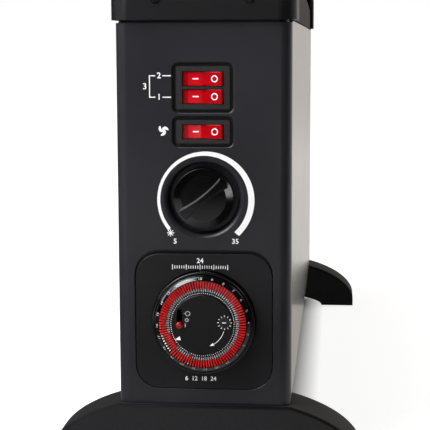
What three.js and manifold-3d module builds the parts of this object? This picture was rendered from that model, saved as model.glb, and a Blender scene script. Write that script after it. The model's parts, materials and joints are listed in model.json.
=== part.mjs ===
// Free-standing convector heater with a turbo fan, a thermostat and a 24-hour timer.
// Millimetres, +Z up. X runs along the heater with the control end at -X, and the front faces -Y.
// The origin is on the floor, at the middle of the whole footprint.
import * as THREE from 'three';
import { mergeVertices } from 'three/addons/utils/BufferGeometryUtils.js';
import Module from 'manifold-3d';

const wasm = await Module();
wasm.setup();

// ---------------------------------------------------------------- driving dimensions

// Body
const bodyLength = 530;
const bodyDepth = 102;
const panelHeight = 225;
const sheet = 1;
const wall = 2.5;
const seatGap = 0.3;
const cornerRadius = 8.5;
const endWrap = 14;
const tongueLength = 6;
const flangeWidth = 10;
const bendRadius = 1.5;

// Feet
const footHeight = 39;
const footWidth = 186;
const footThickness = 37;
const footProud = 4;
const footTipHeight = 6;
const footEdge = 2;
const footArchWidth = 126;
const footArchHeight = 11.5;
const footRib = 3;
const footScrewSpacing = 58;
const footSeatThickness = 9;

// Top caps and outlet grille
const capLength = 50;
const capStraight = 12;
const capShoulder = 35;
const capEndRounding = 13;
const capScrewSpacing = 54;
const capScrewRise = 12.5;
const capScrewSeat = 1;
const gripWidth = 70;
const gripHeight = 17;
const gripDepth = 16;
const gripRise = 19.5;
const gripCorner = 6;
const gripWall = 2;
const grilleLap = 8;
const grilleSlotLength = 70;
const grilleSlotWidth = 5;
const grilleSlotPitchX = 80;
const grilleSlotPitchY = 9.5;
const grilleShoulderSteps = 6;
const grilleShoulderRows = 3;

// Pressed line on the front panel
const creaseRadius = 0.6;
const creaseStart = 158;
const creaseOverrun = 30;
const creaseFoot = 11;
const creaseTopGap = 42;
const creasePower = 4 / 3;

// Air inlets
const inletLength = 58;
const inletWidth = 4;
const inletRows = 3;
const inletPitchX = 70;
const inletPitchZ = 12;
const inletRise = 21;
const floorSlotLength = 48;
const floorSlotWidth = 6;
const floorSlotPitchX = 62;
const floorSlotPitchY = 30;

// Rocker switches
const switchLength = 31;
const doubleSwitchHeight = 24.6;
const singleSwitchHeight = 13.6;
const switchGap = 6.2;
const dishSwitchGap = 8.2;
const switchPocketMargin = 1.9;
const switchPocketCorner = 2.5;
const switchPocketDepth = 3;
const bezelRecess = 0.3;
const bezelLip = 1;
const switchBodyDepth = 17;
const switchBodyInset = 1.3;
const rockerSpan = 22.8;
const rockerHeight = 8;
const rockerPitch = 10.2;
const rockerPivotDepth = 5;
const rockerSwing = 12;
const rockerDip = 1.1;
const bezelCorner = 1;
const rockerPinRadius = 1.1;
const rockerPinLength = 0.9;
const tabLength = 8;
const tabWidth = 6.3;
const tabThickness = 0.8;

// Thermostat
const timerDishGap = 8.3;
const dishRadius = 21;
const dishDepth = 9;
const dishLip = 3;
const dishFloorEdge = 1;
const knobRadius = 17.6;
const knobProud = 4;
const knobFloorGap = 1;
const knobEdge = 0.8;
const knobBarHeight = 4.4;
const knobBarEnd = 15.5;
const knobTopWall = 2;
const knobSkirt = 3.5;
const knobBossRadius = 5.6;
const knobBarWaist = 3;
const knobBarArc = 74;
const knobPointerAngle = -38;
const bushRadius = 5;
const bushProud = 3.5;
const nutThickness = 2.5;
const nutRadius = 8;
const shaftRadius = 3;
const thermostatWidth = 34;
const thermostatHeight = 26;
const thermostatDepth = 20;
const thermostatCorner = 2;

// Timer
const timerPlateRise = 9.3;
const timerPlateSize = 80.4;
const timerPlateCorner = 14;
const timerPlateThickness = 1.5;
const timerRadius = 30.2;
const timerRimWall = 1.3;
const timerRimProud = 5;
const timerCupFloor = 3;
const timerFlangeRadius = 34;
const timerFlangeThickness = 2;
const timerBodyRadius = 27;
const timerBodyDepth = 30;
const timerPostRadius = 4;
const timerPostSeat = 6;
const dialEdgeProud = 6.5;
const dialCrownProud = 8.6;
const tappetCount = 96;
const tappetOuter = 25;
const tappetLength = 4;
const tappetTravel = 1.4;
const tappetWidth = 0.9;
const tappetProud = 9.6;
const tappetBase = 0.8;
const channelFloor = 6.2;
const channelOuter = 25.7;
const channelInner = 19.2;
const setTappetFirst = 85;
const setTappetCount = 7;
const setTappetAlone = 77;
const discRadius = 17.7;
const discProud = 9.8;
const discThickness = 2.6;
const timerEdge = 0.5;
const hubSkirt = 0.9;
const sliderOffset = 13.3;
const sliderTravel = 7.5;
const sliderStem = 2;
const sliderHeadRadius = 1.9;
const sliderHeadHeight = 2.4;
const sliderDome = 1.1;
const sliderCrown = 0.65;
const sliderFootLap = 1.2;
const sliderFootThickness = 0.8;
const minuteOffset = 13;
const minuteRise = 1.6;
const minuteRadius = 3.1;
const minuteThickness = 1.4;
const minutePinRadius = 0.8;
const minutePinReach = 0.5;
const minuteHandWidth = 0.7;
const minuteHandProud = 0.5;
const timerMotorRadius = 18;
const timerMotorDepth = 14;
const timerTabSetback = 4;

// Heating chamber
const partitionGap = 11.1;
const bracketMargin = 33.6;
const elementLift = 28.1;
const elementSpacing = 44;
const highElementArm = 26;
const lowElementArm = 20;
const elementWeb = 2.4;
const elementCore = 5;
const elementEndGap = 8;
const elementPinRadius = 3;
const insulatorRadius = 6.7;
const insulatorFlange = 9;
const insulatorLength = 16;
const insulatorCollar = 2;
const cutoutRadius = 8;
const cutoutHeight = 7;
const cutoutFlange = 2;
const cutoutFlangeThickness = 1;
const cutoutScrewRadius = 0.8;
const cutoutLift = 37;

// Turbo fan
const fanRadius = 38.5;
const fanTipGap = 2;
const shroudWall = 2.5;
const shroudHeight = 26;
const fanBlades = 5;
const fanBladeChord = 22;
const fanBladeThickness = 1.6;
const fanBladePitch = 35;
const fanHubRadius = 9;
const fanHubHeight = 12;
const fanHubRise = 7;
const fanHubEdge = 1;
const fanBladeRoot = 0.45;
const fanBladeTip = 0.6;
const fanBladeFlare = 0.8;
const fanHubLap = 2;
const fanShaftRadius = 1.5;
const spokeWidth = 5;
const spokeThickness = 3;
const spokeCount = 3;
const motorPlateRadius = 14;
const fanMotorLength = 42;
const fanMotorWidth = 30;
const fanMotorHeight = 22;
const fanCoilRadius = 11;
const fanCoilLength = 30;
const fanBoreDepth = 13;

// Connections
const terminalBlockWidth = 30;
const terminalBlockHeight = 16;
const terminalBlockDepth = 11;
const terminalWays = 3;
const terminalRise = 8;
const terminalSide = 22;
const terminalWireHole = 2;
const terminalScrewHole = 1.8;
const terminalScrewRise = 11.2;
const glandRadius = 6;
const glandFlange = 9;
const glandFlangeThickness = 3;
const glandBore = 3.8;
const glandEdge = 1;
const glandTail = 6;
const glandBarb = 1.5;
const glandBarbLength = 2;
const glandRise = 16;
const glandInset = 35;

// Screws
const capScrewHead = 3.1;
const capScrewHeadHeight = 1.8;
const capScrewShank = 1.6;
const capScrewLength = 8;
const footScrewHead = 4;
const footScrewHeadHeight = 2.4;
const footScrewShank = 1.9;
const screwHeadEdge = 0.7;
const screwReach = 3;
const driveSlotWidth = 0.9;
const driveSlotDepth = 0.8;
const driveSlotShare = 0.68;

// ---------------------------------------------------------------- sizes that follow

const halfLength = bodyLength / 2;
const halfDepth = bodyDepth / 2;
const seamZ = footHeight + panelHeight;
const capOverhang = wall + seatGap;
const capHalfDepth = halfDepth + capOverhang;
const capEnd = halfLength + capOverhang;
const floorZ = footHeight + sheet + seatGap;
const chamberFloorZ = floorZ + sheet + seatGap;
const innerHalfDepth = halfDepth - sheet - seatGap;
const bezelThickness = switchPocketDepth - bezelRecess - seatGap;
const rockerEndRadius = Math.hypot(rockerSpan / 2, rockerPivotDepth);

// The control face is stacked from the bottom: timer plate, thermostat dish, single switch, double switch.
const dishMouth = dishRadius + dishLip;
const timerZ = footHeight + timerPlateRise + timerPlateSize / 2;
const thermostatZ = timerZ + timerPlateSize / 2 + timerDishGap + dishMouth;
const singleSwitchZ = thermostatZ + dishMouth + dishSwitchGap + singleSwitchHeight / 2;
const doubleSwitchZ = singleSwitchZ + singleSwitchHeight / 2 + switchGap + doubleSwitchHeight / 2;

// The timer is the deepest control, so the chamber starts behind its motor.
const timerSeatDepth = timerPlateThickness + seatGap;
const timerSeatBack = timerSeatDepth + wall;
const timerBackDepth = timerSeatBack + seatGap + timerBodyDepth;
const timerMotorBack = timerBackDepth + seatGap + timerMotorDepth;
const chamberHalf = halfLength - timerMotorBack - partitionGap;

const shroudInner = fanRadius + fanTipGap;
const shroudTopZ = chamberFloorZ + shroudHeight;
const fanMotorZ = shroudTopZ + seatGap;
const elementZ = fanMotorZ + fanMotorHeight + elementLift;
const cutoutZ = elementZ + cutoutLift;

const sliderHeadTop = discProud + seatGap + sliderHeadHeight;
const footScrewX = halfLength + footProud - footThickness / 2;
const controlReach = halfLength + Math.max(sliderHeadTop, knobProud, footProud, capOverhang);
const farReach = halfLength + Math.max(footProud, capOverhang);

// ---------------------------------------------------------------- geometry helpers

const over = 1; // how far a cutting solid runs past the face that it cuts

function toSolid(geometry) {
  geometry.deleteAttribute('normal');
  geometry.deleteAttribute('uv');
  const merged = mergeVertices(geometry, 1e-4);
  const index = merged.index.array;
  const triangles = [];
  for (let i = 0; i < index.length; i += 3) {
    const [a, b, c] = [index[i], index[i + 1], index[i + 2]];
    if (a !== b && b !== c && c !== a) triangles.push(a, b, c);
  }
  const vertProperties = Float32Array.from(merged.attributes.position.array);
  const mesh = new wasm.Mesh({ numProp: 3, vertProperties, triVerts: Uint32Array.from(triangles) });
  return new wasm.Manifold(mesh);
}

function toGeometry(solid) {
  const { vertProperties, triVerts } = solid.getMesh();
  const geometry = new THREE.BufferGeometry();
  geometry.setAttribute('position', new THREE.BufferAttribute(vertProperties, 3));
  geometry.setIndex(new THREE.BufferAttribute(triVerts, 1));
  geometry.computeVertexNormals();
  return geometry;
}

const join = (first, ...rest) => rest.reduce((whole, piece) => whole.add(piece), first);
const cut = (first, ...rest) => rest.reduce((whole, piece) => whole.subtract(piece), first);

// A box between two limits on each axis.
function block([x0, x1], [y0, y1], [z0, z1]) {
  const geometry = new THREE.BoxGeometry(x1 - x0, y1 - y0, z1 - z0);
  return toSolid(geometry.translate((x0 + x1) / 2, (y0 + y1) / 2, (z0 + z1) / 2));
}

const alongX = (x) => new THREE.Matrix4().set(0, 0, 1, x, 1, 0, 0, 0, 0, 1, 0, 0, 0, 0, 0, 1);
const alongY = (y) => new THREE.Matrix4().set(1, 0, 0, 0, 0, 0, -1, y, 0, 1, 0, 0, 0, 0, 0, 1);
const alongZ = (z) => new THREE.Matrix4().makeTranslation(0, 0, z);

function prism(shape, depth, matrix, curveSegments, options = {}) {
  const settings = { depth, curveSegments, bevelEnabled: false, ...options };
  return toSolid(new THREE.ExtrudeGeometry(shape, settings).applyMatrix4(matrix));
}

// Prisms of a shape drawn in (y, z), (x, z) or (x, y).
const prismX = (shape, x0, x1, curve = 4) => prism(shape, x1 - x0, alongX(x0), curve);
const prismY = (shape, y0, y1, curve = 4) => prism(shape, y1 - y0, alongY(y1), curve);
const prismZ = (shape, z0, z1, curve = 4) => prism(shape, z1 - z0, alongZ(z0), curve);

function rectangle(cx, cy, width, height, radius = 0) {
  const shape = new THREE.Shape();
  const [left, right] = [cx - width / 2, cx + width / 2];
  const [low, high] = [cy - height / 2, cy + height / 2];
  if (radius === 0) {
    shape.moveTo(left, low);
    shape.lineTo(right, low);
    shape.lineTo(right, high);
    shape.lineTo(left, high);
    return shape;
  }
  shape.absarc(right - radius, low + radius, radius, -Math.PI / 2, 0);
  shape.absarc(right - radius, high - radius, radius, 0, Math.PI / 2);
  shape.absarc(left + radius, high - radius, radius, Math.PI / 2, Math.PI);
  shape.absarc(left + radius, low + radius, radius, Math.PI, 1.5 * Math.PI);
  return shape;
}

// A closed [radius, height] profile turned about the Y axis.
function turned(profile, sides) {
  const points = profile.map(([r, h]) => new THREE.Vector2(r, h));
  if (THREE.ShapeUtils.area(points) < 0) points.reverse();
  if (points[0].x > 0 || points.at(-1).x > 0) points.push(points[0].clone());
  return new THREE.LatheGeometry(points, sides);
}

// The same, turned about an axis along X, Y or Z that passes through the given point.
function turnX(profile, y, z, sides = 18) {
  return toSolid(turned(profile, sides).rotateZ(-Math.PI / 2).translate(0, y, z));
}

function turnY(profile, x, z, sides = 14) {
  return toSolid(turned(profile, sides).translate(x, 0, z));
}

function turnZ(profile, x, y, sides = 16) {
  return toSolid(turned(profile, sides).rotateX(Math.PI / 2).translate(x, y, 0));
}

const rodProfile = (radius, from, to) => [[0, from], [radius, from], [radius, to], [0, to]];
const rodX = (radius, x0, x1, y, z, sides = 16) => turnX(rodProfile(radius, x0, x1), y, z, sides);
const rodY = (radius, y0, y1, x, z, sides = 14) => turnY(rodProfile(radius, y0, y1), x, z, sides);
const rodZ = (radius, z0, z1, x, y, sides = 12) => turnZ(rodProfile(radius, z0, z1), x, y, sides);

// A place on the control face: h is how far it stands proud of the end panel.
const faceX = (h) => -halfLength - h;

// ---------------------------------------------------------------- casing

// Folded side sheet with a flange along its top and bottom, drawn for the -Y side.
function channelShape() {
  const out = -halfDepth;
  const bendX = out + bendRadius;
  const [low, high] = [footHeight, seamZ];
  const inner = bendRadius - sheet;
  const shape = new THREE.Shape();
  shape.moveTo(out + flangeWidth, low);
  shape.lineTo(bendX, low);
  shape.absarc(bendX, low + bendRadius, bendRadius, -Math.PI / 2, -Math.PI, true);
  shape.absarc(bendX, high - bendRadius, bendRadius, Math.PI, Math.PI / 2, true);
  shape.lineTo(out + flangeWidth, high);
  shape.lineTo(out + flangeWidth, high - sheet);
  shape.absarc(bendX, high - bendRadius, inner, Math.PI / 2, Math.PI);
  shape.absarc(bendX, low + bendRadius, inner, Math.PI, 1.5 * Math.PI);
  shape.lineTo(out + flangeWidth, low + sheet);
  return shape;
}

function sidePanel() {
  const half = halfLength - endWrap - seatGap;
  return prismX(channelShape(), -half, half, 3);
}

// Shallow pressed line that sweeps up the front panel from near the control end to the far end.
function crease() {
  const run = bodyLength - creaseStart + creaseOverrun;
  const rise = panelHeight - creaseFoot - creaseTopGap;
  const x0 = -halfLength + creaseStart;
  const z0 = footHeight + creaseFoot;
  const points = [new THREE.Vector3(x0, -halfDepth, footHeight - over)];
  const steps = 22;
  for (let i = 0; i <= steps; i += 1) {
    const angle = (i / steps) * (Math.PI / 2);
    const x = x0 + run * (1 - Math.cos(angle) ** creasePower);
    const z = z0 + rise * Math.sin(angle) ** creasePower;
    points.push(new THREE.Vector3(x, -halfDepth, z));
  }
  const extrudePath = new THREE.CatmullRomCurve3(points, false, 'centripetal');
  const section = new THREE.Shape();
  section.absarc(0, 0, creaseRadius, 0, 2 * Math.PI);
  const settings = { steps: steps + 4, curveSegments: 3, bevelEnabled: false, extrudePath };
  return toSolid(new THREE.ExtrudeGeometry(section, settings));
}

function frontPanel() {
  return cut(sidePanel(), crease());
}

function backPanel() {
  let panel = sidePanel();
  const through = [-halfDepth - over, -halfDepth + sheet + over];
  const columns = Math.floor((bodyLength - 2 * (glandInset + glandFlange)) / inletPitchX);
  for (let column = 0; column < columns; column += 1) {
    for (let row = 0; row < inletRows; row += 1) {
      const x = (column - (columns - 1) / 2) * inletPitchX;
      const z = footHeight + inletRise + row * inletPitchZ;
      panel = cut(panel, prismY(rectangle(x, z, inletLength, inletWidth), ...through));
    }
  }
  const glandX = halfLength - glandInset;
  return cut(panel, rodY(glandRadius + seatGap, ...through, glandX, footHeight + glandRise));
}

// Outline of the body seen from above at the control end, drawn inwards by inset.
function endPlan(inset, reach) {
  const radius = cornerRadius - inset;
  const side = halfDepth - inset;
  const face = -halfLength + inset;
  const shape = new THREE.Shape();
  shape.moveTo(reach, side);
  shape.lineTo(face + radius, side);
  shape.absarc(face + radius, side - radius, radius, Math.PI / 2, Math.PI);
  shape.absarc(face + radius, -side + radius, radius, Math.PI, 1.5 * Math.PI);
  shape.lineTo(reach, -side);
  return shape;
}

// Moulded end that wraps round both corners, with tongues behind the side sheets
// and two upright lugs that take the cap screws.
function endShell() {
  const reach = -halfLength + endWrap;
  const outer = prismZ(endPlan(0, reach), footHeight, seamZ);
  const hollow = prismZ(endPlan(wall, reach + over), footHeight - over, seamZ + over);
  let shell = cut(outer, hollow);
  const clear = sheet + seatGap + bendRadius;
  const lugZ = seamZ + capScrewRise;
  const lugTop = lugZ + 1.5 * capScrewHead;
  for (const side of [-1, 1]) {
    const faces = [side * (halfDepth - wall), side * innerHalfDepth].sort((a, b) => a - b);
    const tongue = [reach - 2 * sheet, reach + tongueLength];
    shell = join(shell, block(tongue, faces, [footHeight + clear, seamZ - clear]));
    const lugY = (side * capScrewSpacing) / 2;
    const lugHalf = 2 * capScrewHead;
    const lug = block([faceX(0), faceX(-wall)], [lugY - lugHalf, lugY + lugHalf], [seamZ - over, lugTop]);
    const pilot = rodX(capScrewShank + seatGap, faceX(over), faceX(-wall - over), lugY, lugZ, 12);
    shell = cut(join(shell, lug), pilot);
  }
  return shell;
}

const switches = [
  { height: doubleSwitchHeight, z: doubleSwitchZ, rockers: [rockerPitch / 2, -rockerPitch / 2] },
  { height: singleSwitchHeight, z: singleSwitchZ, rockers: [0] },
];

function controlEndPanel() {
  let panel = endShell();
  const [upper, lower] = switches;
  const backTop = upper.z + upper.height / 2 + switchPocketMargin + wall;
  const backBottom = lower.z - lower.height / 2 - switchPocketMargin - wall;
  const backHalf = switchLength / 2 + switchPocketMargin + wall;
  const backX = [faceX(-over), faceX(-switchPocketDepth - wall)];
  panel = join(panel, block(backX, [-backHalf, backHalf], [backBottom, backTop]));
  for (const { height, z } of switches) {
    const [pocketY, pocketZ] = [switchLength, height].map((size) => size + 2 * switchPocketMargin);
    const pocket = rectangle(0, z, pocketY, pocketZ, switchPocketCorner);
    const [openY, openZ] = [switchLength, height].map((size) => size - 2 * (switchBodyInset - seatGap));
    const opening = rectangle(0, z, openY, openZ);
    panel = cut(panel, prismX(pocket, faceX(over), faceX(-switchPocketDepth), 2));
    panel = cut(panel, prismX(opening, faceX(over), faceX(-switchPocketDepth - wall - over)));
  }

  const cupBack = faceX(-dishDepth - wall);
  const cupRadius = dishRadius + wall;
  const cup = [[0, faceX(-over)], [cupRadius, faceX(-over)], [cupRadius, cupBack], [0, cupBack]];
  panel = cut(join(panel, turnX(cup, 0, thermostatZ)), turnX(dishProfile(), 0, thermostatZ, 24));
  panel = cut(panel, rodX(bushRadius + seatGap, faceX(0), cupBack + over, 0, thermostatZ));

  const seatSize = timerPlateSize + 2 * seatGap;
  const rimSize = seatSize + 2 * wall;
  const seat = rectangle(0, timerZ, seatSize, seatSize, timerPlateCorner + seatGap);
  const rim = rectangle(0, timerZ, rimSize, rimSize, timerPlateCorner + wall);
  panel = join(panel, prismX(rim, faceX(-over), faceX(-timerSeatBack), 3));
  panel = cut(panel, prismX(seat, faceX(over), faceX(-timerSeatDepth)));
  return cut(panel, rodX(timerRadius + seatGap, faceX(over), faceX(-timerSeatBack - over), 0, timerZ, 32));
}

// Round recess round the thermostat knob, with a rolled lip.
function dishProfile() {
  const profile = [[0, faceX(over)], [dishMouth, faceX(over)]];
  const steps = 3;
  for (let i = 0; i <= steps; i += 1) {
    const angle = (i / steps) * (Math.PI / 2);
    profile.push([dishMouth - dishLip * Math.sin(angle), faceX(-dishLip * (1 - Math.cos(angle)))]);
  }
  profile.push([dishRadius, faceX(dishFloorEdge - dishDepth)]);
  profile.push([dishRadius - dishFloorEdge, faceX(-dishDepth)], [0, faceX(-dishDepth)]);
  return profile;
}

function bottomPlate() {
  const half = halfLength - wall - seatGap;
  const width = bodyDepth - 2 * (wall + seatGap);
  let plate = prismZ(rectangle(0, 0, 2 * half, width, cornerRadius - wall), floorZ, floorZ + sheet, 2);
  const cutZ = [floorZ - over, floorZ + sheet + over];
  const columns = Math.floor((2 * chamberHalf) / floorSlotPitchX);
  for (let column = 0; column < columns; column += 1) {
    for (const side of [-1, 1]) {
      const x = (column - (columns - 1) / 2) * floorSlotPitchX;
      const slot = rectangle(x, (side * floorSlotPitchY) / 2, floorSlotLength, floorSlotWidth);
      plate = cut(plate, prismZ(slot, ...cutZ));
    }
  }
  for (const x of [-footScrewX, footScrewX]) {
    for (const y of [-footScrewSpacing / 2, footScrewSpacing / 2]) {
      plate = cut(plate, rodZ(footScrewShank + seatGap, ...cutZ, x, y, 8));
    }
  }
  return plate;
}

// ---------------------------------------------------------------- top caps and grille

// Rounded arch outline drawn in (y, z), inset from the outer face of the caps.
function archShape(inset, base) {
  const side = capHalfDepth - inset;
  const radius = capShoulder - inset;
  const centreZ = seamZ + capStraight;
  const shape = new THREE.Shape();
  shape.moveTo(-side, base);
  shape.lineTo(side, base);
  shape.absarc(side - radius, centreZ, radius, 0, Math.PI / 2);
  shape.absarc(-side + radius, centreZ, radius, Math.PI / 2, Math.PI);
  return shape;
}

// Full form of the control end cap, inset from its outer face and closed towards the grille at reach.
function capForm(inset, base, reach) {
  const arch = prismX(archShape(inset, base), -capEnd + inset, reach, 5);
  const end = -capEnd + inset;
  const side = capHalfDepth - inset;
  const top = seamZ + capStraight + capShoulder - inset;
  const cornerPlan = cornerRadius + capOverhang - inset;
  const plan = new THREE.Shape();
  plan.moveTo(reach + over, side + over);
  plan.lineTo(end + cornerPlan, side + over);
  plan.lineTo(end + cornerPlan, side);
  plan.absarc(end + cornerPlan, side - cornerPlan, cornerPlan, Math.PI / 2, Math.PI);
  plan.absarc(end + cornerPlan, -side + cornerPlan, cornerPlan, Math.PI, 1.5 * Math.PI);
  plan.lineTo(end + cornerPlan, -side - over);
  plan.lineTo(reach + over, -side - over);
  const rounding = capEndRounding - inset;
  const profile = new THREE.Shape();
  profile.moveTo(end, base - over);
  profile.lineTo(reach + over, base - over);
  profile.lineTo(reach + over, top + over);
  profile.lineTo(end + rounding, top + over);
  profile.absarc(end + rounding, top - rounding, rounding, Math.PI / 2, Math.PI);
  const rounded = prismZ(plan, base - over, top + over, 3);
  return arch.intersect(rounded).intersect(prismY(profile, -side - over, side + over, 3));
}

// Cap shell with a finger grip let into its end and two screw seats.
function topCap() {
  const reach = -capEnd + capLength;
  const gripZ = seamZ + gripRise + gripHeight / 2;
  const [boxWidth, boxHeight] = [gripWidth + 2 * gripWall, gripHeight + 2 * gripWall];
  const gripBox = rectangle(0, gripZ, boxWidth, boxHeight, gripCorner + gripWall);
  const grip = rectangle(0, gripZ, gripWidth, gripHeight, gripCorner);
  const gripBack = -capEnd + gripDepth;
  const pocket = prismX(gripBox, -capEnd, gripBack + gripWall, 2);
  const hollow = cut(capForm(wall, seamZ - over, reach + over), pocket);
  let cap = cut(capForm(0, seamZ, reach), hollow, prismX(grip, -capEnd - over, gripBack, 2));
  const screwZ = seamZ + capScrewRise;
  for (const y of [-capScrewSpacing / 2, capScrewSpacing / 2]) {
    cap = cut(cap, rodX(capScrewHead + seatGap, -capEnd - over, -capEnd + capScrewSeat, y, screwZ, 12));
    cap = cut(cap, rodX(capScrewShank + seatGap, -capEnd, -capEnd + wall + over, y, screwZ, 8));
  }
  return cap;
}

// Arched sheet with lengthwise outlet slots: rows along the flat top and more down each shoulder.
function topGrille() {
  const half = capEnd - capLength + grilleLap;
  const base = seamZ + seatGap;
  const outer = prismX(archShape(capOverhang, base), -half, half, grilleShoulderSteps);
  const innerArch = archShape(capOverhang + sheet, base - over);
  const inner = prismX(innerArch, -half - over, half + over, grilleShoulderSteps);
  let grille = cut(outer, inner);
  const radius = capShoulder - capOverhang;
  const centreY = capHalfDepth - capShoulder;
  const stepAngle = Math.PI / 2 / grilleShoulderSteps;
  const rows = [-1, 0, 1].map((row) => ({ y: row * grilleSlotPitchY, angle: 0 }));
  for (let row = 0; row < grilleShoulderRows; row += 1) {
    for (const side of [-1, 1]) rows.push({ y: side * centreY, angle: -side * (row + 0.5) * stepAngle });
  }
  const columns = Math.floor((2 * (capEnd - capLength)) / grilleSlotPitchX);
  for (const { y, angle } of rows) {
    for (let column = 0; column < columns; column += 1) {
      const x = (column - (columns - 1) / 2) * grilleSlotPitchX;
      const geometry = new THREE.BoxGeometry(grilleSlotLength, grilleSlotWidth, 4 * sheet);
      geometry.translate(x, 0, radius - sheet / 2).rotateX(angle);
      grille = cut(grille, toSolid(geometry.translate(0, y, seamZ + capStraight)));
    }
  }
  return grille;
}

// Pan head and pointed shank, seen from the head's seat: [radius, height] with the head below zero.
function screwProfile(head, headHeight, shank, length) {
  return [[0, -headHeight], [head - screwHeadEdge, -headHeight], [head, screwHeadEdge - headHeight],
    [head, 0], [shank, 0], [shank, length], [0, length + shank]];
}

function capScrew() {
  const profile = screwProfile(capScrewHead, capScrewHeadHeight, capScrewShank, capScrewLength);
  const slotX = [-capScrewHeadHeight - over, -capScrewHeadHeight + driveSlotDepth];
  const half = driveSlotWidth / 2;
  const arm = capScrewHead * driveSlotShare;
  return cut(turnX(profile, 0, 0, 8), block(slotX, [-half, half], [-arm, arm]));
}

// ---------------------------------------------------------------- feet

// Arched foot seen from the end: flat where the body stands, falling away to both tips.
function footShape() {
  const half = footWidth / 2;
  const top = footHeight - seatGap;
  const rise = (top - footTipHeight) / Math.sqrt(1 - (halfDepth / half) ** 2);
  const seatAngle = Math.acos(halfDepth / half);
  const archHalf = footArchWidth / 2;
  const shape = new THREE.Shape();
  shape.moveTo(archHalf, 0);
  shape.lineTo(half, 0);
  shape.absellipse(0, footTipHeight, half, rise, 0, seatAngle);
  shape.absellipse(0, footTipHeight, half, rise, Math.PI - seatAngle, Math.PI);
  shape.lineTo(-half, 0);
  shape.absellipse(0, 0, archHalf, footArchHeight, Math.PI, 0, true);
  return shape;
}

function foot() {
  const depth = footThickness - 2 * footEdge;
  const bevel = { bevelEnabled: true, bevelThickness: footEdge, bevelSize: footEdge, bevelSegments: 1 };
  const x0 = -halfLength - footProud;
  let solid = prism(footShape(), depth, alongX(x0 + footEdge), 7, { ...bevel, bevelOffset: -footEdge });
  const top = footHeight - seatGap;
  const pocketX = [x0 + 2 * footRib, x0 + footThickness - 2 * footRib];
  const screwY = footScrewSpacing / 2;
  const column = 2 * footScrewHead;
  for (const side of [-1, 1]) {
    for (const limits of [[footRib / 2, screwY - column], [screwY + column, halfDepth - footRib]]) {
      const pocketY = limits.map((y) => side * y).sort((a, b) => a - b);
      solid = cut(solid, block(pocketX, pocketY, [-over, top - footRib]));
    }
    const y = side * screwY;
    const seatZ = top - footSeatThickness;
    solid = cut(solid, rodZ(footScrewHead + 2 * seatGap, -over, seatZ, -footScrewX, y, 12));
    solid = cut(solid, rodZ(footScrewShank + seatGap, 0, top + over, -footScrewX, y, 8));
  }
  return solid;
}

function footScrew() {
  const length = footSeatThickness + 2 * (seatGap + sheet) + screwReach;
  const profile = screwProfile(footScrewHead, footScrewHeadHeight, footScrewShank, length);
  const slotZ = [-footScrewHeadHeight - over, -footScrewHeadHeight + driveSlotDepth];
  const half = driveSlotWidth / 2;
  const arm = footScrewHead * driveSlotShare;
  return cut(turnZ(profile, 0, 0, 8), block([-half, half], [-arm, arm], slotZ));
}

// ---------------------------------------------------------------- rocker switches

function switchBodyHeight(height) {
  return height - 2 * switchBodyInset;
}

function switchHousing({ height, z, rockers }) {
  const front = faceX(-bezelRecess);
  const bezelBack = front + bezelThickness;
  const back = bezelBack + switchBodyDepth;
  const bodyLengthY = switchLength - 2 * switchBodyInset;
  const bezel = prismX(rectangle(0, z, switchLength, height, bezelCorner), front, bezelBack, 2);
  const body = prismX(rectangle(0, z, bodyLengthY, switchBodyHeight(height)), bezelBack - over, back);
  let housing = join(bezel, body);
  const pivotX = front + rockerPivotDepth;
  for (const offset of rockers) {
    const rockerZ = z + offset;
    const slot = rockerHeight / 2 + seatGap;
    const lip = Math.sqrt(rockerEndRadius ** 2 - (rockerPivotDepth - bezelLip) ** 2) + seatGap;
    const room = rockerEndRadius + seatGap;
    const zRange = [rockerZ - slot, rockerZ + slot];
    housing = cut(housing, block([front - over, front + bezelLip + over], [-lip, lip], zRange));
    housing = cut(housing, block([front + bezelLip, front + 2 * rockerPivotDepth], [-room, room], zRange));
    const pin = rockerHeight / 2 + rockerPinLength + seatGap;
    housing = cut(housing, rodZ(rockerPinRadius + seatGap, rockerZ - pin, rockerZ + pin, pivotX, 0, 12));
    for (const y of [-tabWidth, tabWidth]) {
      const tabY = [y - tabWidth / 2, y + tabWidth / 2];
      const tabZ = [rockerZ - tabThickness / 2, rockerZ + tabThickness / 2];
      housing = join(housing, block([back - over, back + tabLength], tabY, tabZ));
    }
  }
  return housing;
}

// Rocker seen along its pivot: a shallow V on top, with ends rounded about the pivot. Drawn about the
// pivot with both ends level; at rest it leans by half its swing, with its +Y end in (switched on).
function rocker() {
  const rise = Math.atan2(rockerPivotDepth, rockerSpan / 2) + THREE.MathUtils.degToRad(rockerSwing / 2);
  const low = THREE.MathUtils.degToRad(rockerSwing);
  const crest = rockerEndRadius * Math.sin(rise);
  const heel = rockerPivotDepth / 2;
  const quarter = Math.PI / 2;
  const shape = new THREE.Shape();
  shape.moveTo(rockerDip - crest, 0);
  shape.lineTo(-crest, rockerEndRadius * Math.cos(rise));
  shape.absarc(0, 0, rockerEndRadius, quarter + rise, quarter + low, true);
  shape.lineTo(heel, heel);
  shape.lineTo(heel, -heel);
  shape.absarc(0, 0, rockerEndRadius, -quarter - low, -quarter - rise, true);
  const half = rockerHeight / 2;
  const pins = rodZ(rockerPinRadius, -half - rockerPinLength, half + rockerPinLength, 0, 0, 8);
  return join(prismZ(shape, -half, half, 2), pins);
}

// ---------------------------------------------------------------- thermostat

const dishFloorX = faceX(-dishDepth);
const dishBackX = faceX(-dishDepth - wall);
const knobTopX = faceX(knobProud);
const knobFloorX = dishFloorX - knobFloorGap;
const knobDeckX = knobTopX + knobBarHeight;
const knobSocketX = knobDeckX + knobTopWall / 2;
const knobCeilingX = knobDeckX + knobTopWall;

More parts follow.
